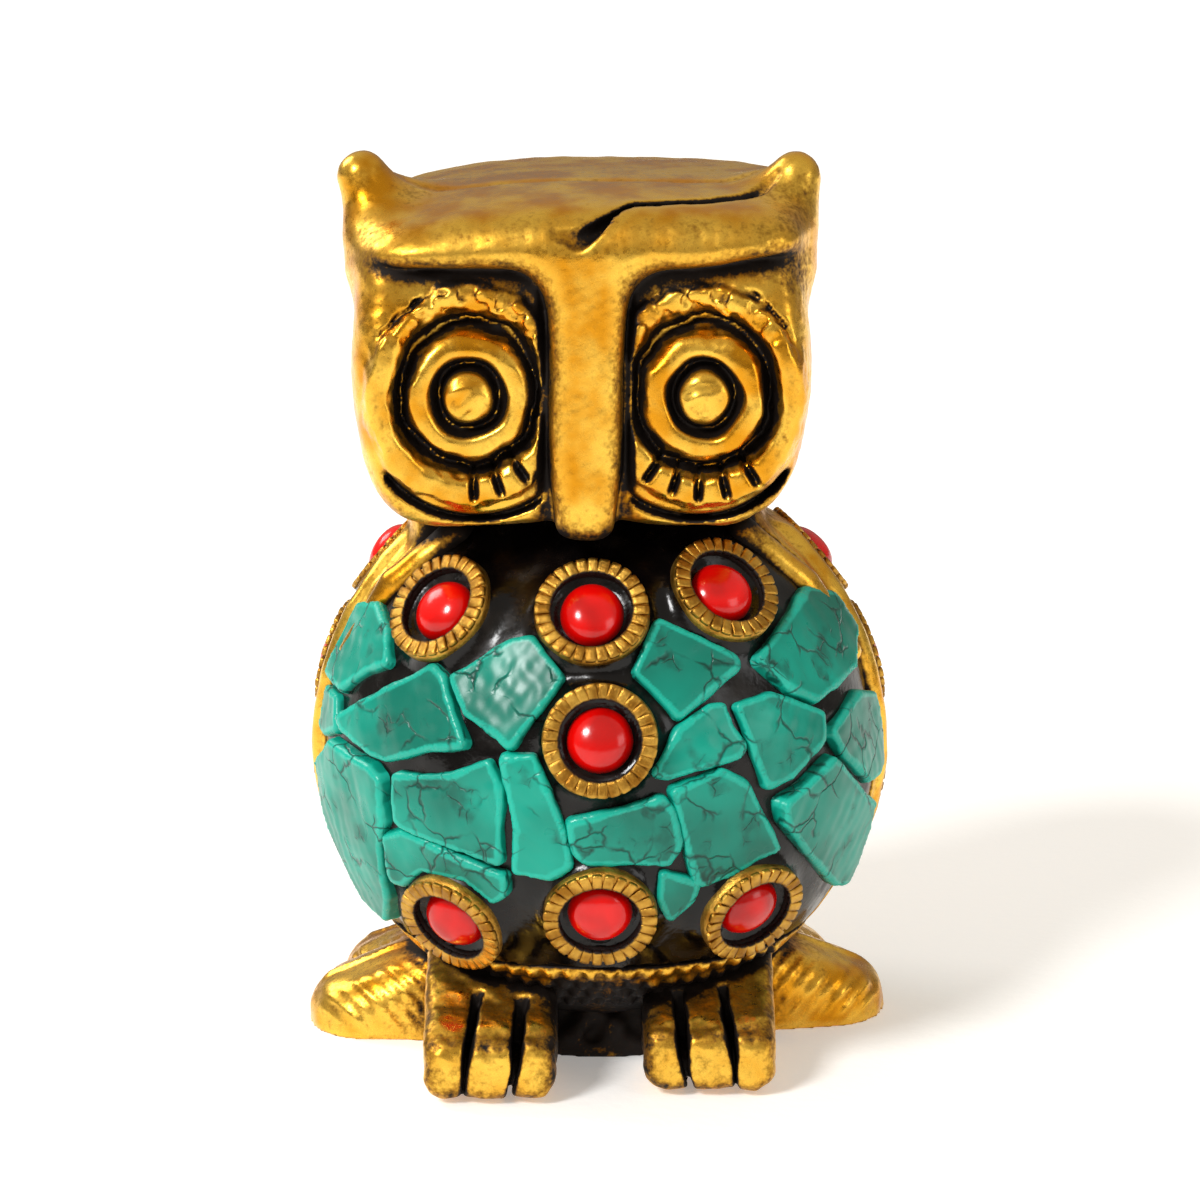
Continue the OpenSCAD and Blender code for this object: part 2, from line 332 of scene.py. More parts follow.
def write_layer(piece: bpy.types.Object, name: str, values: np.ndarray) -> None:
    """Keeps one number for each vertex, for the finish to read."""
    layer = piece.data.attributes.get(name) or piece.data.attributes.new(name, "FLOAT", "POINT")
    layer.data.foreach_set("value", np.asarray(values, np.float32))


def vertices_of(piece: bpy.types.Object) -> np.ndarray:
    """A piece's vertices, in millimetres.

    Args:
        piece: The piece.

    Returns:
        The vertices, one to a row.
    """
    flat = np.empty(len(piece.data.vertices) * 3, np.float32)
    piece.data.vertices.foreach_get("co", flat)
    return flat.reshape(-1, 3).astype(float) / MM


def normals_of(piece: bpy.types.Object) -> np.ndarray:
    """The direction in which the surface faces at each of a piece's vertices.

    Args:
        piece: The piece.

    Returns:
        Directions of length 1, one to a row.
    """
    flat = np.empty(len(piece.data.vertices) * 3, np.float32)
    piece.data.vertex_normals.foreach_get("vector", flat)
    return flat.reshape(-1, 3).astype(float)


# How far out of the surface to look for a neighbour, in millimetres, and what each look counts.
LOOKS = ((0.5, 0.2), (1.1, 0.4), (2.2, 0.3), (4.0, 0.15))
RUB_DEPTH = 0.7


def write_shelter(piece: bpy.types.Object, around: Solid, extra: Solid) -> None:
    """Marks how enclosed each place is, for patina and painted shade, and where its edges stand out, for wear
    from handling.

    Args:
        piece: The piece to mark.
        around: Everything that can shelter it, as one solid.
        extra: How much more painted shade a place gets than its shape tells.
    """
    p, n = vertices_of(piece), normals_of(piece)
    # Enclosed places are darkened by the finish: partly patina, partly painted shade.
    hollow = extra(p)
    for reach, share in LOOKS:
        hollow += share * np.clip(1.0 - around(p + reach * n) / reach, 0.0, 1.6)
    inner = around(p - RUB_DEPTH * n)
    worn = np.clip(1.0 + inner / RUB_DEPTH, 0.0, 1.0)
    write_layer(piece, "hollow", np.clip(hollow, 0.0, 1.0))
    write_layer(piece, "worn", worn)


# ---- Where things are -----------------------------------------------------------------------


def box_mm(node: str) -> tuple:
    """Lowest and highest corner of a CAD node, in millimetres."""
    low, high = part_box(node)
    return np.array(low) / MM, np.array(high) / MM


@dataclass(frozen=True)
class Figure:
    """The figure's main places, read off the CAD frame, in millimetres."""

    belly: np.ndarray
    belly_r: float
    low: np.ndarray
    high: np.ndarray

    @classmethod
    def from_frame(cls) -> "Figure":
        """Finds the round belly from the bezels: a wing's are all as far from its middle.

        Returns:
            The figure.
        """
        low, high = box_mm("brass_casting")
        core_low, core_high = box_mm("clay_core")
        middle_y = (core_low[1] + core_high[1]) / 2.0
        upper, lower = (np.mean(box_mm(f"bezel_right_wing_{name}"), axis=0) for name in ("upper", "lower"))
        flat = np.array([0.0, middle_y, 0.0])
        squares = [float((q - flat) @ (q - flat)) for q in (upper, lower)]
        middle_z = (squares[0] - squares[1]) / (2.0 * (upper[2] - lower[2]))
        belly = np.array([0.0, middle_y, middle_z])
        ring_low, ring_high = box_mm("bezel_centre")
        ring_r = (ring_high[0] - ring_low[0]) / 2.0
        away = (ring_low + ring_high) / 2.0 - belly
        tilt = math.atan2(away[2], -away[1])
        rim = (middle_y - ring_low[1] - ring_r * math.sin(tilt)) / math.cos(tilt)
        return cls(belly=belly, belly_r=float(rim) - CHEST_BEZEL_RISE, low=low, high=high)

    def on_belly(self, around: float, up: float, r: float) -> np.ndarray:
        """A point `r` from the belly's middle, at degrees round from the front and degrees up."""
        a, b = math.radians(around), math.radians(up)
        return self.belly + r * np.array([math.sin(a) * math.cos(b), -math.cos(a) * math.cos(b), math.sin(b)])


@dataclass(frozen=True)
class Panels:
    """The recesses that hold the lac: one on the chest and one on each wing, in millimetres.

    Seen from the side, a wing is a leaf between two arcs, each given by its middle's y and z and its radius.
    """

    figure: Figure
    chest_back: float = 3.8
    chest_low: float = 10.6
    collar: float = 43.2
    chin: float = 46.6
    border: float = 2.1
    inner_x: float = 8.0
    front_arc: tuple = (-4.0, 25.0, 23.5)
    rear_arc: tuple = (30.2, 31.0, 34.0)
    top_over_collar: float = 1.4

    def leaf(self, p: np.ndarray) -> np.ndarray:
        """Distance to the outline of a folded wing, seen from the side.

        Args:
            p: Points, in millimetres.

        Returns:
            Distances, negative inside the wing.
        """
        y, z = p[:, 1] - self.figure.belly[1], p[:, 2]
        outline = z - self.collar - self.top_over_collar
        for middle_y, middle_z, radius in (self.front_arc, self.rear_arc):
            outline = np.maximum(outline, np.hypot(y - middle_y, z - middle_z) - radius)
        return np.maximum(outline, self.inner_x - np.abs(p[:, 0]))

    def chest(self, p: np.ndarray) -> np.ndarray:
        """Distance to the chest's recess, seen from the front.

        Args:
            p: Points, in millimetres.

        Returns:
            Distances, negative inside the recess.
        """
        y, z = p[:, 1] - self.figure.belly[1], p[:, 2]
        height = np.maximum(self.chest_low - z, z - self.chin)
        return np.maximum(np.maximum(height, y + self.chest_back), -self.leaf(p))

    def wing(self, p: np.ndarray) -> np.ndarray:
        """Distance to a wing's recess, inside its border."""
        return self.leaf(p) + self.border

    def any(self, p: np.ndarray) -> np.ndarray:
        """Distance to the nearest recess."""
        return np.minimum(self.chest(p), self.wing(p))


# ---- Finishes -------------------------------------------------------------------------------


def linear(hex_colour: str) -> tuple:
    """Turns an sRGB hex colour into the linear colour that shaders use."""
    parts = [int(hex_colour[i : i + 2], 16) / 255.0 for i in (1, 3, 5)]
    return tuple(c / 12.92 if c <= 0.04045 else ((c + 0.055) / 1.055) ** 2.4 for c in parts) + (1.0,)


def per_mm(size: float) -> float:
    """The scale that makes a pattern's blotches about `size` millimetres across."""
    return 1.0 / (size * MM)


# The colour mixer's inputs, by number, because its number and colour inputs share their names.
SHARE, UNDER, OVER = 0, 6, 7
COLOURS = {"data_type": "RGBA"}
SMOOTH = {"interpolation_type": "SMOOTHSTEP"}


class Nodes:
    """A node tree with one short way to add to it."""

    def __init__(self, tree: bpy.types.NodeTree) -> None:
        """Starts with an empty tree."""
        self.tree = tree
        tree.nodes.clear()

    def add(self, kind: str, inputs: Optional[dict] = None, **settings: object) -> bpy.types.Node:
        """Adds a node with its settings and links.

        Args:
            kind: The node's type.
            inputs: For each input, by name or number, a plain value, another node or one output of it.
            settings: The node's own settings.

        Returns:
            The new node.
        """
        node = self.tree.nodes.new(kind)
        for name, value in settings.items():
            setattr(node, name, value)
        for name, value in (inputs or {}).items():
            if isinstance(value, bpy.types.Node):
                value = next(output for output in value.outputs if output.enabled)
            if isinstance(value, bpy.types.NodeSocket):
                self.tree.links.new(value, node.inputs[name])
            else:
                node.inputs[name].default_value = value
        return node


class Board(Nodes):
    """A material's node tree."""

    def __init__(self, name: str) -> None:
        """Starts a material.

        Args:
            name: The material's name.
        """
        self.material = bpy.data.materials.new(name)
        self.material.use_nodes = True
        super().__init__(self.material.node_tree)
        self.place = self.add("ShaderNodeTexCoord").outputs["Object"]

    def closed(self, shader: bpy.types.Node) -> bpy.types.Material:
        """Shows the shader on the surface and gives back the material."""
        self.add("ShaderNodeOutputMaterial", {"Surface": shader})
        return self.material


@dataclass(frozen=True)
class CastBrass:
    """Lost-wax cast brass: polished bright by handling on the high places, black-brown in the hollows, partly
    patina and partly painted shade.
    """

    name: str = "cast_brass"
    bright: str = "#F7C64F"
    warm: str = "#D8921D"
    tarnish: str = "#71420D"
    grime: str = "#140903"
    polish: float = 0.26
    blotch_mm: float = 4.0
    speck_mm: float = 0.5
    speckle: float = 0.62

    def build(self) -> bpy.types.Material:
        """Lays the colours over each other, brightest first.

        Returns:
            The material.
        """
        b = Board(self.name)
        hollow = b.add("ShaderNodeAttribute", attribute_name="hollow").outputs["Fac"]
        worn = b.add("ShaderNodeAttribute", attribute_name="worn").outputs["Fac"]
        wide = {"Vector": b.place, "Scale": per_mm(self.blotch_mm), "Detail": 4.0}
        blotch = b.add("ShaderNodeTexNoise", wide)
        fine = {"Vector": b.place, "Scale": per_mm(self.speck_mm), "Roughness": 0.7}
        speck = b.add("ShaderNodeTexNoise", fine)
        # Dirt and painted shade lie thickest in the grooves and thin out in blotches round them.
        dirt_and_shade = b.add("ShaderNodeMath", {0: speck, 1: self.speckle, 2: hollow}, operation="MULTIPLY_ADD")
        dirt_and_shade = b.add("ShaderNodeMath", {0: blotch, 1: 1.0 - self.speckle, 2: dirt_and_shade}, operation="MULTIPLY_ADD")
        colour = linear(self.warm)
        layers = (
            (self.bright, blotch, 0.35, 0.65, 1.0),
            (self.bright, worn, 0.04, 0.4, 0.6),
            # The tarnish and grime layers are patina plus painted shade in the hollows.
            (self.tarnish, dirt_and_shade, 0.54, 0.92, 0.8),
            (self.grime, dirt_and_shade, 0.82, 1.08, 1.0),
        )
        for tone, by, none, full, most in layers:
            limits = {"Value": by, "From Min": none, "From Max": full, "To Max": most}
            share = b.add("ShaderNodeMapRange", limits, **SMOOTH)
            colour = b.add("ShaderNodeMix", {SHARE: share, UNDER: colour, OVER: linear(tone)}, **COLOURS)
        dull = {"Value": dirt_and_shade, "From Min": 0.5, "From Max": 1.1, "To Min": self.polish - 0.09, "To Max": 0.51}
        rough = b.add("ShaderNodeMapRange", dull)
        rough = b.add("ShaderNodeMath", {0: speck, 1: 0.18, 2: rough}, operation="MULTIPLY_ADD")
        bare = {"Value": dirt_and_shade, "From Min": 0.82, "From Max": 1.08, "To Min": 1.0, "To Max": 0.55}
        metallic = b.add("ShaderNodeMapRange", bare)
        # File marks, drawn coarser than the real 0.05 mm so that they show.
        swells = b.add("ShaderNodeTexNoise", {"Vector": b.place, "Scale": per_mm(1.6)})
        marks = b.add("ShaderNodeTexNoise", {"Vector": b.place, "Scale": per_mm(0.35), "Detail": 3.0})
        dents = b.add("ShaderNodeBump", {"Height": swells, "Distance": 0.035 * MM})
        filed = b.add("ShaderNodeBump", {"Height": marks, "Distance": 0.012 * MM, "Normal": dents})
        shader = {"Base Color": colour, "Metallic": metallic, "Roughness": rough, "Normal": filed}
        return b.closed(b.add("ShaderNodeBsdfPrincipled", shader))


@dataclass(frozen=True)
class BezelBrass:
    """Thin brass strip, notched with a chisel and never polished: duller and browner than the casting."""

    name: str = "notched_bezel_brass"
    face: str = "#CFA045"
    brown: str = "#936421"
    grime: str = "#150B05"

    def build(self) -> bpy.types.Material:
        """Lays brown blotches, grime and painted shade over the bare face.

        Returns:
            The material.
        """
        b = Board(self.name)
        hollow = b.add("ShaderNodeAttribute", attribute_name="hollow").outputs["Fac"]
        speck_inputs = {"Vector": b.place, "Scale": per_mm(0.28), "Detail": 4.0, "Roughness": 0.7}
        speck = b.add("ShaderNodeTexNoise", speck_inputs)
        blotch = b.add("ShaderNodeTexNoise", {"Vector": b.place, "Scale": per_mm(1.4), "Detail": 3.0})
        dirt_and_shade = b.add("ShaderNodeMath", {0: speck, 1: 0.7, 2: hollow}, operation="MULTIPLY_ADD")
        browned = b.add("ShaderNodeMapRange", {"Value": blotch, "From Min": 0.7, "From Max": 0.3}, **SMOOTH)
        tones = {SHARE: browned, UNDER: linear(self.face), OVER: linear(self.brown)}
        metal = b.add("ShaderNodeMix", tones, **COLOURS)
        # Grime plus painted shade on the walls below the rim and low down.
        grimy_and_shaded = b.add("ShaderNodeMapRange", {"Value": dirt_and_shade, "From Min": 0.57, "From Max": 1.05}, **SMOOTH)
        colour = b.add("ShaderNodeMix", {SHARE: grimy_and_shaded, UNDER: metal, OVER: linear(self.grime)}, **COLOURS)
        rough = b.add("ShaderNodeMapRange", {"Value": grimy_and_shaded, "To Min": 0.36, "To Max": 0.62})
        metallic = b.add("ShaderNodeMapRange", {"Value": grimy_and_shaded, "To Min": 1.0, "To Max": 0.5})
        knocks = b.add("ShaderNodeBump", {"Height": blotch, "Distance": 0.1 * MM})
        scuffs = b.add("ShaderNodeBump", {"Height": speck, "Distance": 0.06 * MM, "Normal": knocks})
        shader = {"Base Color": colour, "Metallic": metallic, "Roughness": rough, "Normal": scuffs}
        return b.closed(b.add("ShaderNodeBsdfPrincipled", shader))


@dataclass(frozen=True)
class BlackLac:
    """Black lac, poured hot: a glossy skin with slow waves and a little brass dust dulling it."""

    name: str = "poured_black_lac"
    resin: str = "#060404"
    dust: str = "#160F0A"

    def build(self) -> bpy.types.Material:
        """Dulls the resin with dust in blotches.

        Returns:
            The material.
        """
        b = Board(self.name)
        blotch = b.add("ShaderNodeTexNoise", {"Vector": b.place, "Scale": per_mm(3.5), "Detail": 4.0})
        dusty = b.add("ShaderNodeMapRange", {"Value": blotch, "From Min": 0.45, "From Max": 0.75}, **SMOOTH)
        tones = {SHARE: dusty, UNDER: linear(self.resin), OVER: linear(self.dust)}
        colour = b.add("ShaderNodeMix", tones, **COLOURS)
        rough = b.add("ShaderNodeMapRange", {"Value": dusty, "To Min": 0.16, "To Max": 0.45})
        slow = b.add("ShaderNodeTexNoise", {"Vector": b.place, "Scale": per_mm(2.2)})
        fine = b.add("ShaderNodeTexNoise", {"Vector": b.place, "Scale": per_mm(0.4), "Detail": 3.0})
        waves = b.add("ShaderNodeBump", {"Height": slow, "Distance": 0.06 * MM})
        tooth = b.add("ShaderNodeBump", {"Height": fine, "Distance": 0.02 * MM, "Normal": waves})
        shader = {"Base Color": colour, "Roughness": rough, "Specular IOR Level": 0.3, "Normal": tooth}
        return b.closed(b.add("ShaderNodeBsdfPrincipled", shader))


@dataclass(frozen=True)
class Turquoise:
    """Turquoise slabs, tumbled and waxed: a cloudy blue-green with thin dark veins, a painted highlight along
    the edges and painted shade low down by the lac.
    """

    name: str = "waxed_turquoise"
    body: str = "#049580"
    deep: str = "#046A59"
    cloud: str = "#07473B"
    vein: str = "#041A14"
    edge: str = "#1DBBA4"

    def build(self) -> bpy.types.Material:
        """Lays clouds, painted edge highlights, veins and painted shade over the stone.

        Returns:
            The material.
        """
        b = Board(self.name)
        worn = b.add("ShaderNodeAttribute", attribute_name="worn").outputs["Fac"]
        hollow = b.add("ShaderNodeAttribute", attribute_name="hollow").outputs["Fac"]
        warp = b.add("ShaderNodeTexNoise", {"Vector": b.place, "Scale": per_mm(3.0), "Detail": 3.0})
        bend = {0: warp.outputs["Color"], 1: (2.6 * MM,) * 3, 2: b.place}
        bent = b.add("ShaderNodeVectorMath", bend, operation="MULTIPLY_ADD")
        edges = {"feature": "DISTANCE_TO_EDGE"}
        cracks = b.add("ShaderNodeTexVoronoi", {"Vector": bent, "Scale": per_mm(4.6)}, **edges)
        crazing = b.add("ShaderNodeTexVoronoi", {"Vector": bent, "Scale": per_mm(1.9)}, **edges)
        clouds = b.add("ShaderNodeTexNoise", {"Vector": b.place, "Scale": per_mm(3.2), "Detail": 5.0})
        shade = b.add("ShaderNodeTexNoise", {"Vector": b.place, "Scale": per_mm(9.0)})
        where = b.add("ShaderNodeTexNoise", {"Vector": b.place, "Scale": per_mm(5.0)})
        # A vein is about 0.15 mm wide; the finer crazing shows only inside the dark patches.
        some = b.add("ShaderNodeMapRange", {"Value": where, "From Min": 0.44, "From Max": 0.56}, **SMOOTH)
        patches = b.add("ShaderNodeMapRange", {"Value": clouds, "From Min": 0.54, "From Max": 0.7}, **SMOOTH)
        wide = {"Value": cracks, "From Min": 0.035, "From Max": 0.0, "To Max": some}
        thin = {"Value": crazing, "From Min": 0.05, "From Max": 0.0, "To Max": patches}
        both = {number: b.add("ShaderNodeMapRange", limits) for number, limits in enumerate((wide, thin))}
        veins = b.add("ShaderNodeMath", both, operation="MAXIMUM")
        colour = linear(self.body)
        layers = (
            (self.deep, shade, 0.35, 0.65, 1.0),
            (self.cloud, patches, 0.0, 1.0, 0.6),
            # Painted highlight: a paler colour along the edges that bend outwards.
            (self.edge, worn, 0.35, 1.0, 0.6),
            (self.vein, veins, 0.0, 1.0, 0.85),
            # The vein colour also darkens each slab low down by the lac: painted shade.
            (self.vein, hollow, 0.25, 0.8, 0.85),
        )
        for tone, by, none, full, most in layers:
            limits = {"Value": by, "From Min": none, "From Max": full, "To Max": most}
            share = b.add("ShaderNodeMapRange", limits)
            colour = b.add("ShaderNodeMix", {SHARE: share, UNDER: colour, OVER: linear(tone)}, **COLOURS)
        dull = {"Value": clouds, "From Min": 0.3, "From Max": 0.75, "To Min": 0.26, "To Max": 0.42}
        rough = b.add("ShaderNodeMapRange", dull)
        hills = b.add("ShaderNodeTexNoise", {"Vector": b.place, "Scale": per_mm(1.6), "Detail": 1.0})
        level = b.add("ShaderNodeBump", {"Height": hills, "Distance": 0.03 * MM})
        sunk = {"Height": veins, "Distance": 0.06 * MM, "Normal": level}
        groove = b.add("ShaderNodeBump", sunk, invert=True)
        shader = {"Base Color": colour, "Roughness": rough, "Specular IOR Level": 0.35, "Normal": groove}
        return b.closed(b.add("ShaderNodeBsdfPrincipled", shader))


@dataclass(frozen=True)
class Coral:
    """Coral cabochons, turned and polished to a wet gloss, a little darker where the bed shades them."""

    name: str = "polished_coral"
    red: str = "#DB0603"
    deep: str = "#8E0301"

    def build(self) -> bpy.types.Material:
        """Clouds the red and darkens it towards the bed.

        Returns:
            The material.
        """
        b = Board(self.name)
        hollow = b.add("ShaderNodeAttribute", attribute_name="hollow").outputs["Fac"]
        bands = b.add("ShaderNodeTexNoise", {"Vector": b.place, "Scale": per_mm(2.8), "Detail": 1.0})
        pores = b.add("ShaderNodeTexNoise", {"Vector": b.place, "Scale": per_mm(0.25), "Roughness": 0.6})
        colour = linear(self.red)
        for by, none, full, most in ((bands, 0.4, 0.7, 0.6), (hollow, 0.35, 1.0, 1.0)):
            limits = {"Value": by, "From Min": none, "From Max": full, "To Max": most}
            share = b.add("ShaderNodeMapRange", limits)
            colour = b.add("ShaderNodeMix", {SHARE: share, UNDER: colour, OVER: linear(self.deep)}, **COLOURS)
        rough = b.add("ShaderNodeMapRange", {"Value": pores, "To Min": 0.1, "To Max": 0.26})
        pitted = b.add("ShaderNodeBump", {"Height": pores, "Distance": 0.004 * MM})
        shader = {"Base Color": colour, "Roughness": rough, "Specular IOR Level": 0.5, "Normal": pitted}
        return b.closed(b.add("ShaderNodeBsdfPrincipled", shader))


@dataclass(frozen=True)
class FiredClay:
    """The clay core, baked by the pour: matt, crumbly and sooty."""

    name: str = "baked_clay"
    clay: str = "#7A5A45"
    soot: str = "#2E221B"

    def build(self) -> bpy.types.Material:
        """Spreads soot over the crumbly clay.

        Returns:
            The material.
        """
        b = Board(self.name)
        crumbs = b.add("ShaderNodeTexNoise", {"Vector": b.place, "Scale": per_mm(0.6), "Detail": 5.0})
        smoke = b.add("ShaderNodeTexNoise", {"Vector": b.place, "Scale": per_mm(4.0), "Detail": 4.0})
        sooty = b.add("ShaderNodeMapRange", {"Value": smoke, "From Min": 0.35, "From Max": 0.7}, **SMOOTH)
        tones = {SHARE: sooty, UNDER: linear(self.clay), OVER: linear(self.soot)}
        colour = b.add("ShaderNodeMix", tones, **COLOURS)
        rough = b.add("ShaderNodeMapRange", {"Value": crumbs, "To Min": 0.8, "To Max": 0.95})
        crumbly = b.add("ShaderNodeBump", {"Height": crumbs, "Distance": 0.3 * MM})
        shader = {"Base Color": colour, "Roughness": rough, "Normal": crumbly}
        return b.closed(b.add("ShaderNodeBsdfPrincipled", shader))


@dataclass(frozen=True)
class StudioPaper:
    """White paper with a faint tooth, lit through from behind."""

    name: str = "backlit_paper"
    white: str = "#F4F3F1"
    grey: str = "#E2E0DC"
    glow: float = 0.3

    def build(self) -> bpy.types.Material:
        """Gives the paper its tooth and its glow.

        Returns:
            The material.
        """
        b = Board(self.name)
        tooth = b.add("ShaderNodeTexNoise", {"Vector": b.place, "Scale": per_mm(1.5), "Detail": 3.0})
        shaded = b.add("ShaderNodeMapRange", {"Value": tooth, "To Max": 0.06})
        tones = {SHARE: shaded, UNDER: linear(self.white), OVER: linear(self.grey)}
        colour = b.add("ShaderNodeMix", tones, **COLOURS)
        rough = b.add("ShaderNodeBump", {"Height": tooth, "Distance": 0.05 * MM})
        glow = {"Emission Color": linear(self.white), "Emission Strength": self.glow}
        shader = {"Base Color": colour, "Roughness": 0.85, "Normal": rough, **glow}
        return b.closed(b.add("ShaderNodeBsdfPrincipled", shader))


# ---- The casting ----------------------------------------------------------------------------


@dataclass
class Head:
    """The head: a block with a round back and low ears, a T of brow and beak, and two eyes."""

    figure: Figure
    shift: float = -1.55
    half_width: float = 18.5
    front: float = 18.8
    back: float = 14.0
    low: float = 44.5
    crown: float = 74.3
    field_depth: float = 3.0
    brow_low: float = 67.9
    eye_z: float = 57.8
    nose_x: float = 0.45
    eye_x: float = 9.35
    beak_half: float = 3.05
    beak_tip: float = 45.7
    over_crown: float = 2.0
    ear_x: tuple = (17.6, 17.25)
    ear_root: tuple = (15.4, -9.4, 68.0)
    ear_inner_root: tuple = (12.0, -3.0, 66.5)
    pupil_r: float = 2.2
    ring_r: float = 3.95
    band_r: float = 7.25
    ticks: tuple = (-126.0, -109.0, -93.0, -76.0, -57.0)
    arc_r: float = 9.3
    outer_arc_r: float = 8.25
    nape_r: float = 16.5
    feather_pitch: float = 5.2
    feather_height: float = 0.42
    cell: float = 0.25

    def local(self, p: np.ndarray) -> np.ndarray:
        """Points measured from the middle of the head, which leans a little to the left.

        Args:
            p: Points, in millimetres.

        Returns:
            The points, moved.
        """
        q = p.copy()
        q[:, 0] -= self.shift
        q[:, 1] -= self.figure.belly[1]
        return q

    def skull(self, q: np.ndarray) -> np.ndarray:
        """The plain block: flat in front, round behind, domed on top, with wide round jaws.

        Args:
            q: Points measured from the head's middle, in millimetres.

        Returns:
            Distances to the block.
        """
        x, y, z = q.T
        jaw = 1.0 - 0.045 * ease((self.eye_z + 3.0 - z) / 11.0)
        y = y - (self.back - self.front) / 2.0
        z = z - (self.crown + self.over_crown + self.low) / 2.0
        deep, tall = (self.back + self.front) / 2.0, (self.crown + self.over_crown - self.low) / 2.0
        from_front = plate(x / jaw, z, self.half_width, tall, np.where(z < 0.0, 9.0, 3.0))
        from_above = plate(x / jaw, y, self.half_width, deep, np.where(y < 0.0, 6.5, 13.5))
        from_side = plate(y, z, deep, tall, np.where(z < 0.0, 3.4, 5.0))
        ahead, behind = np.minimum(q[:, 1] + 2.0, 0.0), np.maximum(q[:, 1] - 2.0, 0.0)
        lean = np.where(x < 0.0, 0.0085, 0.002) * x**2
        crown = q[:, 2] - (self.crown - lean - 0.0088 * ahead**2 - 0.006 * behind**2)
        return keep(keep(keep(from_front, from_above, 2.0), from_side, 2.0), crown, 3.4)

    def ear(self, q: np.ndarray, side: Side) -> np.ndarray:
        """A blunt tuft that rises from the top corner of the head.

        Args:
            q: Points measured from the head's middle, in millimetres.
            side: Which side.

        Returns:
            Distances to the tuft.
        """
        mirror = np.array([side.value, 1.0, 1.0])
        left_x, right_x = self.ear_x
        tip = mirror * (right_x if side is Side.RIGHT else left_x, -8.2, self.figure.high[2] - 1.7)
        tuft = stick(q, tip, mirror * self.ear_root, 1.65, 3.5)
        inner = stick(q, tip, mirror * self.ear_inner_root, 1.5, 5.6)
        return melt(tuft, inner, 1.5)

    def bars(self, q: np.ndarray) -> np.ndarray:
        """Outline of the T that brow and beak make, seen from the front.

        Args:
            q: Points measured from the head's middle, in millimetres.

        Returns:
            Distances, negative inside the T.
        """
        x, z = q[:, 0] - self.nose_x, q[:, 2]
        half = self.beak_half - 0.55 * ease((53.0 - z) / 6.0) + 0.2 * ease((z - 60.0) / 5.0)
        beak = keep(np.abs(x - 0.01 * (z - self.eye_z)) - half, self.beak_tip - z, 1.9)
        lower = self.brow_low + 0.9 * ease((x - 8.0) / 7.0)
        return melt(beak, lower - z, 4.2)

    def groove_width(self, angle: np.ndarray) -> np.ndarray:
        """Width of the dark groove round the eye, which is cut wider over the top."""
        over = ease((angle - 15.0) / 45.0) * ease((165.0 - angle) / 45.0)
        return 0.52 + 0.42 * over

    def eye_relief(self, q: np.ndarray, side: Side) -> np.ndarray:
        """Height of one modelled eye over the sunk face: a pupil, a broad ring and an outer band.

        Args:
            q: Points measured from the middle of the head.
            side: Which eye.

        Returns:
            Heights in millimetres, nothing far from the eye.
        """
        u = (q[:, 0] - self.nose_x) * side.value - self.eye_x
        v = (q[:, 2] - self.eye_z) / 1.05
        angle = np.degrees(np.arctan2(v, u))
        r = np.hypot(u, v)
        r = r + 0.14 * ripple(q, 3.5, 11) * ease(r / 4.0) + 0.06 * ripple(q, 1.3, 12) * ease((r - 3.5) / 2.0)
        wide = self.groove_width(angle)
        pupil = 1.15 * np.sqrt(np.clip(1.0 - (r / self.pupil_r) ** 2, 0.0, 1.0))
        pupil = pupil + 0.12 * ripple(q, 1.6, 14) * ease(self.pupil_r - r)
        well = -1.1 * np.exp(-(((r - 2.6) / 0.42) ** 2))
        ring = 0.75 * np.exp(-(((r - self.ring_r) / 1.25) ** 6))
        groove = -1.5 * np.exp(-(((r - 4.8 - wide) / wide) ** 2))
        band = 0.75 * np.exp(-(((r - self.band_r) / 1.15) ** 6))
        over_top = ease((angle - 30.0) / 20.0) * ease((150.0 - angle) / 20.0)
        rough = -0.35 * over_top * ease(ripple(q, 1.5, 13) + 0.3)
        band = band + rough * np.exp(-(((r - 7.3) / 1.3) ** 4))
        outside = ease((angle + 35.0) / 10.0) * ease((72.0 - angle) / 10.0)
        scribed = -0.75 * line(r - self.outer_arc_r, 0.22) * outside
        below = np.hypot(u + 0.6, v + 0.2)
        under = ease((-38.0 - angle) / 8.0) * ease((angle + 152.0) / 8.0)
        scribed = scribed - 1.0 * line(below - self.arc_r, 0.32) * under
        for middle in self.ticks[:3] if side is Side.LEFT else self.ticks:
            across = np.radians(angle - middle) * r
            scribed -= 1.1 * line(across, 0.29) * ease((r - 5.4) / 0.3) * ease((8.3 - r) / 0.7)
        lens = 0.8 * ease((12.2 - r) / 4.5)
        beside_beak = ease((u + self.eye_x - self.beak_half - 0.1) / 0.9)
        scribed = scribed * ease((self.half_width - 0.9 - self.eye_x - u) / 2.0)
        return (lens + pupil + well + ring + groove + band + scribed) * beside_beak

    def field(self, q: np.ndarray) -> np.ndarray:
        """How deep the face is sunk behind brow and beak: most at the top and beside the beak.

        Args:
            q: Points measured from the head's middle, in millimetres.

        Returns:
            Depths in millimetres, nothing outside the face.
        """
        x, y, z = q.T
        off_nose = np.abs(x - self.nose_x)
        share = 0.75 + 0.25 * ease((z - 60.0) / 6.0) - 0.35 * ease((off_nose - 9.0) / 8.0)
        depth = self.field_depth * share
        return depth * ease((18.6 - off_nose) / 5.5) * ease((-y - 6.0) / 6.0)

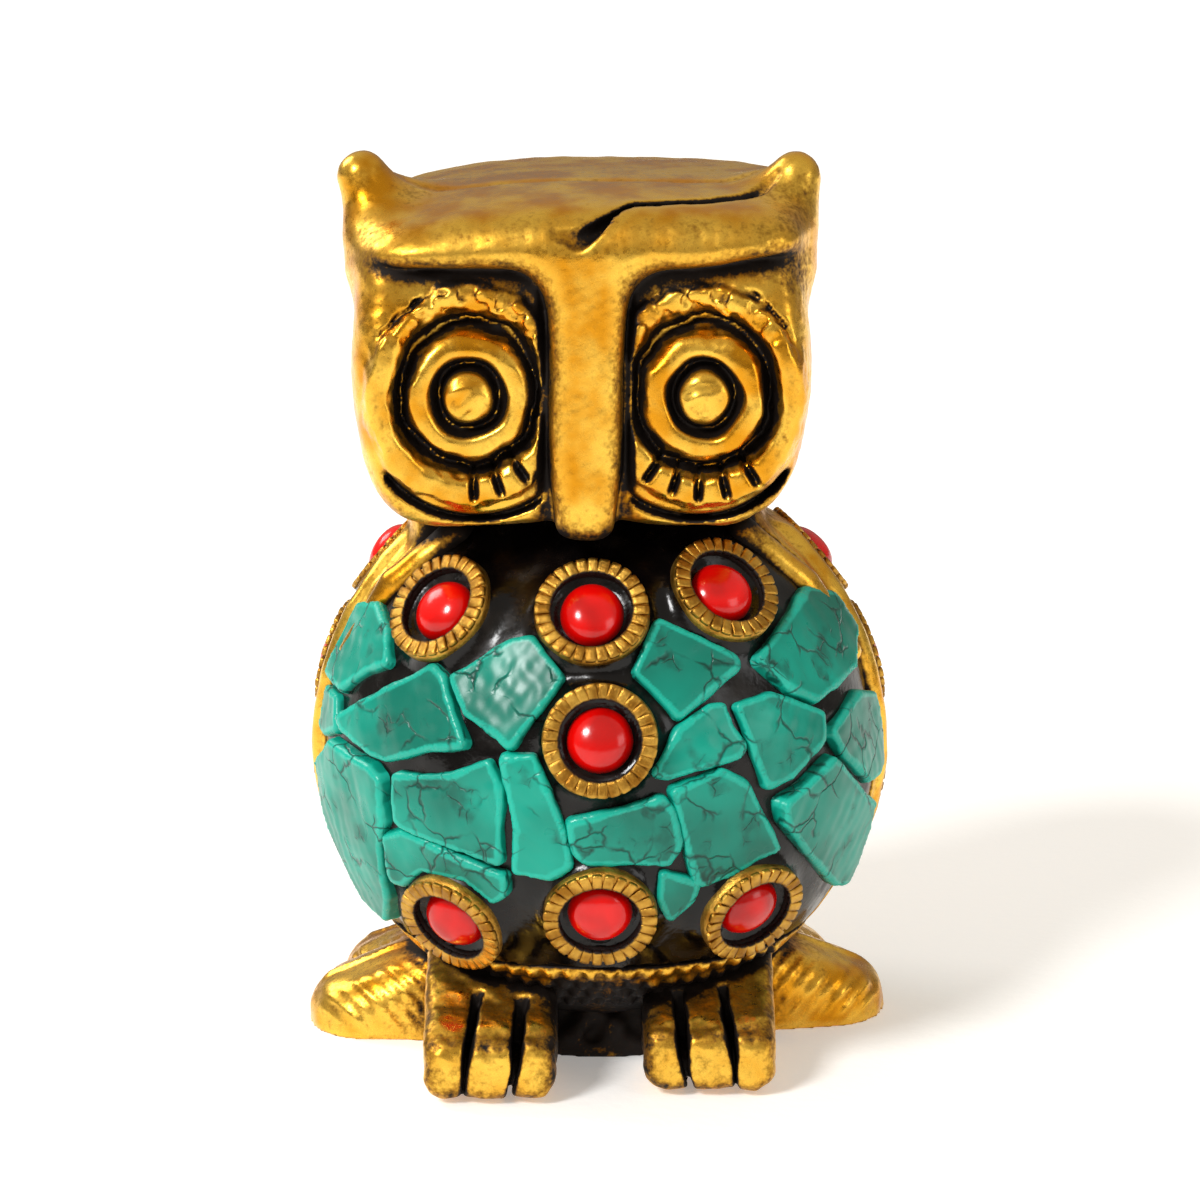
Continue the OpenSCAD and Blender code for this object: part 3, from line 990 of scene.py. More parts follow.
    def brow_cuts(self, q: np.ndarray) -> np.ndarray:
        """The notch where the brows meet, the line behind the right brow, and a nick by the left ear.

        Args:
            q: Points measured from the head's middle, in millimetres.

        Returns:
            Distances to the cuts.
        """
        low, right = -(self.front - 0.8), -(self.front - 4.4)
        start, bend, rise = (-2.0, low, 71.0), (-0.2, low - 0.1, 70.4), (4.2, right, 72.2)
        notch = melt(stick(q, start, bend, 0.3, 0.65), stick(q, bend, rise, 0.65, 0.6), 0.3)
        middle, corner, ear = (10.2, -13.2, 72.5), (14.0, -11.0, 72.9), (15.6, -9.8, 74.8)
        behind = np.minimum(stick(q, rise, middle, 0.6, 0.45), stick(q, middle, corner, 0.45, 0.5))
        behind = np.minimum(behind, stick(q, corner, ear, 0.5, 0.3))
        nick = stick(q, (-17.4, -12.4, 72.0), (-15.4, -13.4, 72.4), 0.2, 0.35)
        return np.minimum(np.minimum(notch, behind), nick)

    def feathering(self, q: np.ndarray) -> np.ndarray:
        """Rows of small feathers down the back of the head.

        Args:
            q: Points measured from the head's middle, in millimetres.

        Returns:
            Heights in millimetres.
        """
        x, y, z = q.T
        around = np.degrees(np.arctan2(x, y + 4.0))
        shown = ease((78.0 - np.abs(around)) / 14.0) * ease((z - 49.0) / 2.0) * ease((72.5 - z) / 2.0)
        return self.feather_height * shown * scales(np.radians(around) * self.nape_r, z, self.feather_pitch)

    def __call__(self, p: np.ndarray) -> np.ndarray:
        """The whole head as a solid.

        Args:
            p: Points, in millimetres.

        Returns:
            Distances, negative inside.
        """
        q = self.local(p)
        skull = self.skull(q)
        for side in Side:
            skull = melt(skull, self.ear(q, side), 2.6)
        face = skull + self.field(q)
        left, right = (self.eye_relief(q, side) for side in Side)
        relief = np.where(q[:, 0] < self.nose_x, left, right)
        face = face - relief * ease((-q[:, 1] - 5.0) / 4.0)
        bars = keep(keep(skull, self.bars(q) + 0.1, 1.8), q[:, 1] + 7.0, 1.0)
        d = melt(face, bars, 0.4)
        d = carve(d, self.brow_cuts(q), 0.5)
        pits = 0.06 * ripple(q, 1.1, 15) * ease((skull + 0.8) / 0.5)
        return d - self.feathering(q) + 0.03 * ripple(q, 4.5, 3) + 0.15 * pits

    def bounds(self) -> tuple:
        """A space that holds the head.

        Returns:
            Its lowest and highest corner.
        """
        x, y = self.half_width + 2.6, self.figure.belly[1]
        low = (self.shift - x, y - self.front - 2.5, self.low - 1.5)
        return low, (self.shift + x, y + self.back + 1.5, self.figure.high[2] + 1.2)


@dataclass
class Trunk:
    """The body ball with its neck, the wings' raised borders and the sunk beds for the lac."""

    figure: Figure
    panels: Panels
    ridge: tuple = ((60.0, 55.0), (69.0, 39.0), (76.0, 22.0))
    bed_depth: float = 1.6
    over_lac: float = 0.2
    neck_half: tuple = (15.6, 11.0, 7.0)
    neck_edge_r: float = 10.5
    feather_pitch: float = 7.0
    feather_height: float = 0.55
    dash_height: float = 0.4
    dash_pitch: float = 5.2
    dash_rows: float = 4.2
    hem_low: float = -60.0
    cell: float = 0.36

    def polar(self, p: np.ndarray) -> tuple:
        """Distance from the belly's middle, and the angles round from the front and up.

        Args:
            p: Points, in millimetres.

        Returns:
            The distance and the two angles of each point.
        """
        q = p - self.figure.belly
        r = np.linalg.norm(q, axis=1)
        round_from_front = np.degrees(np.arctan2(q[:, 0], -q[:, 1]))
        up = np.degrees(np.arcsin(np.clip(q[:, 2] / np.maximum(r, 1e-6), -1.0, 1.0)))
        return r, round_from_front, up

    def wing_border(self, p: np.ndarray, r: np.ndarray) -> np.ndarray:
        """A rounded bead that follows the edge of each wing."""
        across = self.panels.leaf(p) + self.panels.border / 2.0
        return np.hypot(across, r - self.figure.belly_r - 0.15) - self.panels.border / 2.0 + 0.1

    def neck(self, p: np.ndarray) -> np.ndarray:
        """The neck, wider than it is deep."""
        centre = (-1.5, self.figure.belly[1] + 1.6, self.panels.collar + 2.0)
        return block(p, centre, self.neck_half, self.neck_edge_r)

    def shoulder(self, p: np.ndarray, side: Side) -> np.ndarray:
        """The ridge that runs from the neck down over the front edge of a wing.

        Args:
            p: Points, in millimetres.
            side: Which side.

        Returns:
            Distances to the ridge.
        """
        r, s = self.figure.belly_r - 0.1, side.value
        top, middle, end = (self.figure.on_belly(s * around, up, r) for around, up in self.ridge)
        return np.minimum(stick(p, top, middle, 1.5, 1.45), stick(p, middle, end, 1.45, 0.9))

    def back_feathers(self, p: np.ndarray, around: np.ndarray, up: np.ndarray) -> np.ndarray:
        """Overlapping feathers down the middle of the back.

        Args:
            p: Points, in millimetres.
            around: Degrees round from the front.
            up: Degrees up from the level of the belly's middle.

        Returns:
            Heights in millimetres.
        """
        from_back = np.where(around > 0.0, around - 180.0, around + 180.0)
        shown = ease((self.panels.leaf(p) - 0.3) / 0.8) * ease((74.0 - np.abs(from_back)) / 6.0)
        shown = shown * ease((up + 62.0) / 8.0) * ease((52.0 - up) / 6.0)
        across, along = np.radians(from_back) * 21.0, np.radians(up) * 23.6
        return self.feather_height * shown * scales(across, along, self.feather_pitch)

    def hem(self, around: np.ndarray, up: np.ndarray) -> np.ndarray:
        """Small dashes of down along the lower edge of the chest.

        Args:
            around: Degrees round from the front.
            up: Degrees up from the level of the belly's middle.

        Returns:
            Heights in millimetres.
        """
        half_pitch, over_low = self.dash_pitch / 2.0, up - self.hem_low
        row = np.floor(over_low / self.dash_rows)
        across = (around + np.where(row % 2 == 0, 0.0, half_pitch)) % self.dash_pitch - half_pitch
        along = over_low % self.dash_rows - self.dash_rows / 2.0
        dash = np.exp(-((across / 1.5) ** 4) - (along / 1.5) ** 4)
        shown = ease((-38.5 - up) / 2.0) * ease((up + 58.0) / 4.0) * ease((62.0 - np.abs(around)) / 8.0)
        return self.dash_height * dash * shown

    def __call__(self, p: np.ndarray) -> np.ndarray:
        """The whole trunk as a solid.

        Args:
            p: Points, in millimetres.

        Returns:
            Distances, negative inside.
        """
        r, around, up = self.polar(p)
        body = r - self.figure.belly_r - self.over_lac
        body = body - self.back_feathers(p, around, up) * 0.9 - self.hem(around, up)
        body = melt(body, self.neck(p), 2.0)
        recess = np.maximum(self.panels.any(p), self.figure.belly_r - self.bed_depth - r)
        body = carve(body, recess, 0.3)
        border = self.wing_border(p, r)
        for side in Side:
            border = melt(border, self.shoulder(p, side), 0.8)
        body = melt(body, border, 0.5)
        return body + 0.05 * ripple(p, 3.4, 5)

    def bounds(self) -> tuple:
        """A space that holds the trunk."""
        c, r = self.figure.belly, self.figure.belly_r + 2.2
        return (c[0] - r, c[1] - r, c[2] - r), (c[0] + r, c[1] + r, self.panels.collar + 7.0)


@dataclass
class Foot:
    """One foot: three square toes with round corners, split by dark slots."""

    figure: Figure
    side: Side
    inner_x: float = 3.1
    width: float = 11.8
    slots: tuple = ((0.24, 0.48), (0.06, 0.36))
    askew: float = 2.0
    reach: float = 14.0
    toe_top: float = 5.7
    instep: float = 0.52
    edge_r: float = 2.4
    cell: float = 0.2

    @property
    def front(self) -> float:
        """Where the toes end; the right foot was set a little further back."""
        return self.figure.low[1] + (self.askew if self.side is Side.RIGHT else 0.0)

    def top(self, back: np.ndarray) -> np.ndarray:
        """Height of the foot's upper side, at a distance behind the toes."""
        slope = self.instep * np.maximum(back - 1.2, 0.0)
        return self.toe_top + slope + 0.35 * np.sin(np.clip(back, 0.0, 6.0) * 0.9)

    def __call__(self, p: np.ndarray) -> np.ndarray:
        """The foot as a solid.

        Args:
            p: Points, in millimetres.

        Returns:
            Distances, negative inside.
        """
        across = p[:, 0] * self.side.value - self.inner_x
        back, z = p[:, 1] - self.front, p[:, 2]
        middle = self.width / 2.0
        wide = block(np.stack([across, z, z * 0.0], 1), (middle, 12.0, 0.0), (middle, 12.0, 1.0), self.edge_r)
        upper = (z - self.top(back)) * 0.88
        d = keep(keep(wide, -back, 1.6), upper, 1.6)
        toe = self.width / 3.0
        crown = np.abs((across % toe) / toe - 0.5)
        d = d + 0.8 * crown**3 * ease((5.0 - back) / 4.0)
        up = ease((z - 2.0) / 3.5)
        for number, (narrow, wide) in enumerate(self.slots, 1):
            middle_line = number * toe - 0.16 * (z - 3.0) + 0.1 * np.sin(z * 0.9 + number * 2.0)
            slot = np.abs(across - middle_line) - narrow - (wide - narrow) * up
            slot = np.maximum(np.maximum(slot, back - 5.2 - 0.5 * number), -d - 0.6 - 0.9 * up)
            d = carve(d, slot, 0.35)
        return np.maximum(d, back - self.reach) + 0.05 * ripple(p, 2.6, 7) + 0.02 * ripple(p, 0.9, 8)

    def bounds(self) -> tuple:
        """A space that holds the foot.

        Returns:
            Its lowest and highest corner.
        """
        near, far = self.inner_x - 1.0, self.inner_x + self.width + 1.0
        x = sorted((near * self.side.value, far * self.side.value))
        return (x[0], self.front - 1.0, -0.6), (x[1], self.front + self.reach + 1.0, 14.0)


@dataclass
class TailFan:
    """The tail, fanned round the back as a stand of thick feathers with round tips."""

    figure: Figure
    feathers: int = 7
    spread: float = 28.0
    skew: float = 5.0
    half_width: float = 5.9
    stand_r: float = 11.0
    stand_top: float = 9.0
    root_top: float = 8.8
    barb_pitch: float = 1.5
    barb_height: float = 0.1
    quill_height: float = 0.3
    quill_width: float = 0.4
    cell: float = 0.32

    @property
    def reach(self) -> float:
        """How far the tips are from the middle."""
        return (self.figure.high[0] - self.figure.low[0]) / 2.0 + 0.1

    def feather(self, p: np.ndarray, turn: float) -> np.ndarray:
        """One feather: a thick tongue, crowned across and combed with slanting barbs.

        Args:
            p: Points, in millimetres.
            turn: Degrees round from straight back.

        Returns:
            Distances to the feather.
        """
        a = math.radians(turn)
        q = p - np.array([0.0, self.figure.belly[1], 0.0])
        along = -q[:, 0] * math.sin(a) + q[:, 1] * math.cos(a)
        across = q[:, 0] * math.cos(a) + q[:, 1] * math.sin(a)
        tip = self.reach - self.half_width
        past_end = np.maximum(along - tip, 0.0) + np.minimum(along - 4.0, 0.0)
        outline = np.hypot(across, past_end) - self.half_width
        top = self.root_top - 0.42 * np.maximum(along - 12.0, 0.0) - 0.035 * across**2
        barbs = np.sin((along - 0.75 * p[:, 2] + 0.6 * np.abs(across)) * 2.0 * math.pi / self.barb_pitch)
        quill = self.quill_height * line(across, self.quill_width)
        side = ease((np.abs(across) - 2.6) / 2.0)
        uneven = 0.65 + 0.35 * ripple(p, 2.4, 22)
        barbs = self.barb_height * barbs * uneven * side * ease((along - 8.0) / 3.0)
        relief = barbs + quill * ease((p[:, 2] - 3.0) / 2.0)
        d = keep(outline, (p[:, 2] - top) * 0.93, 2.4)
        return d - relief * ease((p[:, 2] - 0.4) / 0.8)

    def __call__(self, p: np.ndarray) -> np.ndarray:
        """The whole stand as a solid.

        Args:
            p: Points, in millimetres.

        Returns:
            Distances, negative inside.
        """
        q = p - np.array([0.0, self.figure.belly[1] + 1.0, 0.0])
        stand = np.maximum(np.hypot(q[:, 0], q[:, 1]) - self.stand_r, q[:, 2] - self.stand_top)
        d = stand - 0.35 * ripple(p, 2.4, 21) * ease((q[:, 2] - 0.6) / 1.0)
        first = -(self.feathers - 1) / 2.0 * self.spread
        for number in range(self.feathers):
            d = melt(d, self.feather(p, first + number * self.spread + self.skew), 0.5)
        return np.maximum(d + 0.05 * ripple(p, 3.0, 9), -p[:, 2])

    def bounds(self) -> tuple:
        """A space that holds the stand."""
        y, r = self.figure.belly[1], self.reach + 0.8
        return (-r, y - self.stand_r - 1.0, -0.6), (r, y + r, 11.0)


@dataclass
class Casting:
    """The one brass casting, sculpted as its parts and marked as a whole for patina, painted shade and wear.
    """

    figure: Figure
    panels: Panels
    finish: bpy.types.Material
    parts: dict = field(init=False)

    def __post_init__(self) -> None:
        """Lays out the parts."""
        self.parts = {
            "head": Head(self.figure),
            "trunk": Trunk(self.figure, self.panels),
            "left_foot": Foot(self.figure, Side.LEFT),
            "right_foot": Foot(self.figure, Side.RIGHT),
            "tail_fan": TailFan(self.figure),
        }

    def whole(self, p: np.ndarray) -> np.ndarray:
        """Every part as one solid, with the lac beds filled.

        Args:
            p: Points, in millimetres.

        Returns:
            Distances to the nearest part.
        """
        filled = np.linalg.norm(p - self.figure.belly, axis=1) - self.figure.belly_r + 0.1
        for part in self.parts.values():
            filled = np.minimum(filled, part(p))
        return filled

    def unpolished(self, p: np.ndarray) -> np.ndarray:
        """Painted shade between the feet and under the chin, and a little darkening at the back of the crown.

        Args:
            p: Points, in millimetres.

        Returns:
            How much more darkening each point gets.
        """
        x, y, z = np.abs(p[:, 0]), p[:, 1] - self.figure.belly[1], p[:, 2]
        # Painted shade between the feet and under the chin; the crown term only darkens the top towards the
        # back.
        between = ease((4.2 - x) / 1.0) * ease((10.5 - z) / 2.0) * ease((-y - 6.0) / 3.0)
        crown = 0.1 * ease((z - 71.0) / 2.0) * ease((y + 8.0) / 12.0)
        chin = 0.3 * ease((48.2 - z) / 2.2) * ease((z - 40.0) / 3.0) * ease((16.0 - x) / 5.0)
        return 0.5 * between + crown + chin

    def build(self) -> list:
        """Sculpts every part.

        Returns:
            The parts as objects.
        """
        pieces = []
        for name, part in self.parts.items():
            low, high = part.bounds()
            vertices, quads = skin(part, low, high, part.cell)
            piece = mesh_object(f"casting_{name}", vertices, quads)
            write_shelter(piece, self.whole, self.unpolished)
            dress(piece, self.finish, ["brass_casting"])
            pieces.append(piece)
        return pieces


# ---- Settings and stones --------------------------------------------------------------------


def dress(piece: bpy.types.Object, finish: bpy.types.Material, nodes: Sequence[str]) -> None:
    """Gives a finished piece its material and ties it to the frame.

    Args:
        piece: The piece.
        finish: Its material.
        nodes: The CAD nodes that it stands for.
    """
    piece.data.materials.clear()
    piece.data.materials.append(finish)
    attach(piece, "root")
    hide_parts(*nodes)
    log.info("%s: %d faces", piece.name, len(piece.data.polygons))


def seed_of(name: str) -> int:
    """A whole number that depends only on the name, to start its random draws."""
    return sum(ord(letter) for letter in name)


@dataclass(frozen=True)
class Seat:
    """Where one bezel stands on the ball of the body."""

    name: str
    figure: Figure
    buried: float = 1.4

    @property
    def out(self) -> np.ndarray:
        """The direction in which the bezel faces.

        Returns:
            A direction of length 1.
        """
        low, high = box_mm(f"bezel_{self.name}")
        away = (low + high) / 2.0 - self.figure.belly
        return away / np.linalg.norm(away)

    @property
    def middle(self) -> np.ndarray:
        """The middle of the bezel's box."""
        low, high = box_mm(f"bezel_{self.name}")
        return (low + high) / 2.0

    @property
    def axes(self) -> np.ndarray:
        """Across, up and out, as the rows of a matrix.

        Returns:
            The three directions, one to a row.
        """
        across = np.cross(UP, self.out)
        across = across / np.linalg.norm(across)
        return np.stack([across, np.cross(self.out, across), self.out])

    @property
    def rise(self) -> float:
        """How far the rim stands out of the lac, whose surface is `buried` above the ring's foot."""
        half = float(np.linalg.norm(self.middle - self.figure.belly)) - self.figure.belly_r + self.buried
        return 2.0 * half - self.buried

    @property
    def coral_top(self) -> float:
        """How far the top of the CAD coral stands out of the lac."""
        heights = (vertices_of(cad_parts[f"coral_{self.name}"]) - self.figure.belly) @ self.out
        return float(heights.max()) - self.figure.belly_r

    @property
    def seed(self) -> int:
        """A number of its own for the bezel's unevenness."""
        return seed_of(self.name)

    def placed(self, local: np.ndarray) -> np.ndarray:
        """Moves points from the bezel's own axes (z = 0 at the lac) to the figure's."""
        return self.figure.belly + self.figure.belly_r * self.out + local @ self.axes

    def seen_from(self, p: np.ndarray) -> tuple:
        """Distance of points from the bezel's axis, and their height over the lac.

        Args:
            p: Points, in millimetres.

        Returns:
            The distances and the heights.
        """
        q = p - self.figure.belly
        height = q @ self.out
        return np.sqrt(np.maximum((q**2).sum(axis=1) - height**2, 0.0)), height - self.figure.belly_r


def turned(profile: Sequence, steps: int, wobble: Callable) -> tuple:
    """Turns a closed profile round the Z axis.

    Args:
        profile: Points as (radius, height), in order round the section, starting and ending off the axis.
        steps: How many steps round.
        wobble: Takes an angle and a profile point number, and returns a change of radius and height.

    Returns:
        Vertices and quads.
    """
    rings = len(profile)
    vertices = []
    for step in range(steps):
        angle = 2.0 * math.pi * step / steps
        for number, (r, z) in enumerate(profile):
            dr, dz = wobble(angle, number)
            vertices.append(((r + dr) * math.cos(angle), (r + dr) * math.sin(angle), z + dz))
    quads = []
    for step in range(steps):
        for number in range(rings):
            a = step * rings + number
            b = step * rings + (number + 1) % rings
            c = (step + 1) % steps * rings
            quads.append((a, c + number, c + (number + 1) % rings, b))
    return np.array(vertices), np.array(quads)


class RimTree:
    """The node tree that sets notched teeth round a bezel's rim."""

    NAME = "notched_rim"
    SIZES = {"Radius": "Float", "Teeth": "Int", "Tooth Length": "Float", "Tooth Width": "Float",
             "Tooth Height": "Float", "Height": "Float", "Seed": "Int"}

    def __init__(self, finish: bpy.types.Material) -> None:
        """Builds the tree once, with named inputs for its sizes.

        Args:
            finish: The material of the teeth.
        """
        self.tree = bpy.data.node_groups.new(self.NAME, "GeometryNodeTree")
        n = Nodes(self.tree)
        made = self.tree.interface.new_socket
        made("Geometry", in_out="INPUT", socket_type="NodeSocketGeometry")
        made("Geometry", in_out="OUTPUT", socket_type="NodeSocketGeometry")
        self.keys = {}
        for name, kind in self.SIZES.items():
            self.keys[name] = made(name, in_out="INPUT", socket_type=f"NodeSocket{kind}").identifier
        given = n.add("NodeGroupInput").outputs
        circle = n.add("GeometryNodeMeshCircle", {"Vertices": given["Teeth"], "Radius": given["Radius"]})
        lift = n.add("ShaderNodeCombineXYZ", {"Z": given["Height"]})
        points = n.add("GeometryNodeSetPosition", {"Geometry": circle, "Offset": lift})
        size = {"X": given["Tooth Length"], "Y": given["Tooth Width"], "Z": given["Tooth Height"]}
        cube = n.add("GeometryNodeMeshCube", {"Size": n.add("ShaderNodeCombineXYZ", size), "Vertices X": 2})
        tooth = n.add("GeometryNodeSubdivisionSurface", {"Mesh": cube, "Level": 2, "Edge Crease": 0.9})
        where = n.add("GeometryNodeInputPosition")
        outward = n.add("FunctionNodeAlignEulerToVector", {"Vector": where}, axis="X", pivot_axis="Z")
        skews = {0: (-0.04, -0.04, -0.07), 1: (0.04, 0.04, 0.07), "Seed": given["Seed"]}
        skewed = n.add("FunctionNodeRandomValue", skews, data_type="FLOAT_VECTOR")
        turn = n.add("FunctionNodeRotateEuler", {"Rotation": outward, "Rotate By": skewed}, space="LOCAL")
        stretches = {0: (0.98, 0.86, 0.9), 1: (1.01, 1.05, 1.08), "Seed": given["Seed"]}
        stretched = n.add("FunctionNodeRandomValue", stretches, data_type="FLOAT_VECTOR")
        each = {"Points": points, "Instance": tooth, "Rotation": turn, "Scale": stretched}
        joined = n.add("GeometryNodeJoinGeometry", {0: n.add("GeometryNodeInstanceOnPoints", each)})
        self.tree.links.new(given["Geometry"], joined.inputs[0])
        real = n.add("GeometryNodeRealizeInstances", {0: joined})
        dressed = n.add("GeometryNodeSetMaterial", {"Geometry": real, "Material": finish})
        n.add("NodeGroupOutput", {0: dressed})

    def run(self, piece: bpy.types.Object, sizes: dict) -> bpy.types.Object:
        """Runs the tree on a piece and returns the result as a plain mesh object of the same name.

        Args:
            piece: The ring that the teeth stand on.
            sizes: A value for each named input.

        Returns:
            The finished ring.
        """
        modifier = piece.modifiers.new(self.NAME, "NODES")
        modifier.node_group = self.tree
        for name, value in sizes.items():
            modifier[self.keys[name]] = value
        mesh, name, old = settled_mesh(piece), piece.name, piece.data
        piece.modifiers.clear()
        bpy.data.objects.remove(piece)
        bpy.data.meshes.remove(old)
        mesh.name = name
        mesh.shade_smooth()
        return linked(name, mesh)


@dataclass
class Bezel:
    """A ring of brass strip with a notched rim, pressed into the lac."""

    seat: Seat
    tree: RimTree
    finish: bpy.types.Material
    outer_r: float = 4.6
    wall: float = 1.35
    teeth: int = 27
    tooth_height: float = 0.5

    def ring(self) -> tuple:
        """The plain ring under the teeth.

        Returns:
            Vertices and quads.
        """
        rim, hole = self.seat.rise - 0.3, self.outer_r - self.wall
        soft = 0.22
        profile = [
            (hole + 0.05, -self.seat.buried), (hole + 0.05, rim - 0.6), (hole + 0.1, rim - soft),
            (hole + 0.3, rim), (self.outer_r - 0.2, rim), (self.outer_r, rim - soft),
            (self.outer_r + 0.02, rim - 0.6), (self.outer_r, 0.0), (self.outer_r, -self.seat.buried),
        ]
        rng = np.random.default_rng(self.seat.seed)
        phase = rng.uniform(0.0, 2.0 * math.pi, 3)

        def wobble(angle: float, number: int) -> tuple:
            """A strip bent by hand is never quite round."""
            swell = 0.05 * math.sin(2.0 * angle + phase[0]) + 0.03 * math.sin(5.0 * angle + phase[1])
            return swell, 0.04 * math.sin(3.0 * angle + phase[2])

        return turned(profile, 96, wobble)

    def build(self) -> bpy.types.Object:
        """Makes the ring, sets its teeth and puts it in its seat.

        Returns:
            The finished piece.
        """
        vertices, quads = self.ring()
        piece = mesh_object(f"notched_bezel_{self.seat.name}", vertices, quads)
        middle_r = self.outer_r - self.wall / 2.0
        pitch = 2.0 * math.pi * middle_r / self.teeth
        sizes = {
            "Radius": middle_r * MM,
            "Teeth": self.teeth + self.seat.seed % 3,
            "Tooth Length": (self.wall + 0.02) * MM,
            "Tooth Width": pitch * 0.97 * MM,
            "Tooth Height": self.tooth_height * MM,
            "Height": (self.seat.rise - self.tooth_height / 2.0 - 0.03) * MM,
            "Seed": self.seat.seed,
        }
        piece = self.tree.run(piece, sizes)
        local = vertices_of(piece)
        r = np.hypot(local[:, 0], local[:, 1])
        # Where the bezel is painted darker: below the rim, on the inner wall and low on the outer wall;
        # painted shade, with grime laid over it by the finish.
        sunk = ease((self.seat.rise - 0.22 - local[:, 2]) / 0.25)
        inside = ease((self.outer_r - self.wall + 0.25 - r) / 0.3)
        low = ease((0.9 - local[:, 2]) / 1.2)
        outside = ease((r - self.outer_r + 0.3) / 0.2)
        hollow = np.maximum(np.maximum(sunk * (1.0 - outside), inside * 0.95), outside * (0.25 + 0.5 * low))
        write_layer(piece, "hollow", hollow)
        flat = (self.seat.placed(local) * MM).astype(np.float32).ravel()
        piece.data.vertices.foreach_set("co", flat)
        piece.data.update()
        dress(piece, self.finish, [f"bezel_{self.seat.name}"])
        return piece


@dataclass
class Cabochon:
    """A domed coral, seldom quite round or quite level."""

    seat: Seat
    finish: bpy.types.Material
    r: float = 2.7
    dome: float = 1.8
    height: float = 2.7
    steps: int = 48
    rings: int = 18

    def build(self) -> bpy.types.Object:
        """Turns the dome, bends it a little and puts it in its bezel.

        Returns:
            The finished piece.
        """
        rng = np.random.default_rng(self.seat.seed + 1)
        oval = rng.uniform(-0.05, 0.03)
        tilt = rng.uniform(-0.12, 0.12, 2)
        top = self.seat.coral_top
        girdle, base = top - self.dome, top - self.height
        profile = [(self.r * 0.96, base), (self.r, base + 0.4), (self.r, girdle)]
        for step in range(1, self.rings):
            a = math.pi / 2.0 * step / self.rings
            profile.append((self.r * math.cos(a) ** 0.92, girdle + (top - girdle) * math.sin(a)))
        vertices = [(0.0, 0.0, base), (0.0, 0.0, top)]
        faces = []
        count = len(profile)
        for step in range(self.steps):
            angle = 2.0 * math.pi * step / self.steps
            for r, z in profile:
                x, y = r * math.cos(angle) * (1.0 + oval), r * math.sin(angle) * (0.98 - oval)
                lean = (tilt[0] * x + tilt[1] * y) * max(z, 0.0) / top
                vertices.append((x, y, z + lean))
            here, there = 2 + step * count, 2 + (step + 1) % self.steps * count
            faces.append((0, there, here))
            faces.append((1, here + count - 1, there + count - 1))
            faces.extend((here + n, there + n, there + n + 1, here + n + 1) for n in range(count - 1))
        mesh = bpy.data.meshes.new(f"coral_cabochon_{self.seat.name}")
        placed = self.seat.placed(np.array(vertices))
        mesh.from_pydata((placed * MM).tolist(), [], faces)
        mesh.shade_smooth()
        piece = linked(mesh.name, mesh)
        height = np.array(vertices)[:, 2]
        # Painted shade, darker towards the bed.
        write_layer(piece, "hollow", ease((girdle + 0.6 - height) / 1.2))
        dress(piece, self.finish, [f"coral_{self.seat.name}"])
        return piece


@dataclass
class LacBed:
    """One bed of lac: level between the stones, drawn up round the bezels and sunk inside them."""

    name: str
    figure: Figure
    outline: Solid
    seats: Sequence[Seat]
    finish: bpy.types.Material
    depth: float = 2.0
    well_r: float = 3.5
    well_sunk: float = 1.3
    drawn_up_r: float = 4.3
    over_edge: float = 0.25
    cell: float = 0.3

    def __call__(self, p: np.ndarray) -> np.ndarray:
        """The bed as a solid.

        Args:
            p: Points, in millimetres.

        Returns:
            Distances, negative inside.
        """
        r = np.linalg.norm(p - self.figure.belly, axis=1)
        over = r - self.figure.belly_r - 0.08 * ripple(p, 4.0, 31)
        for seat in self.seats:
            away, height = seat.seen_from(p)
            over = melt(over, np.maximum(away - self.drawn_up_r, height - 0.5 * seat.rise), 2.0)
        edge = self.outline(p) - self.over_edge
        d = keep(over, edge, 0.3)
        d = np.maximum(d, self.figure.belly_r - self.depth - r)
        for seat in self.seats:
            away, height = seat.seen_from(p)
            level = seat.rise - self.well_sunk + 0.35 * ease((away - 2.6) / 0.7)
            d = np.maximum(d, np.minimum(self.well_r - away, height - level))
            d = np.minimum(d, np.maximum(np.maximum(away - self.well_r, height - level), -height - 1.0))
        return d

    def build(self) -> bpy.types.Object:
        """Pours the bed.

        Returns:
            The finished piece.
        """
        low, high = box_mm(self.name)
        vertices, quads = skin(self, low - 1.0, high + np.array([1.0, 1.0, 3.0]), self.cell)
        piece = mesh_object(f"poured_{self.name}", vertices, quads)
        dress(piece, self.finish, [self.name])
        return piece


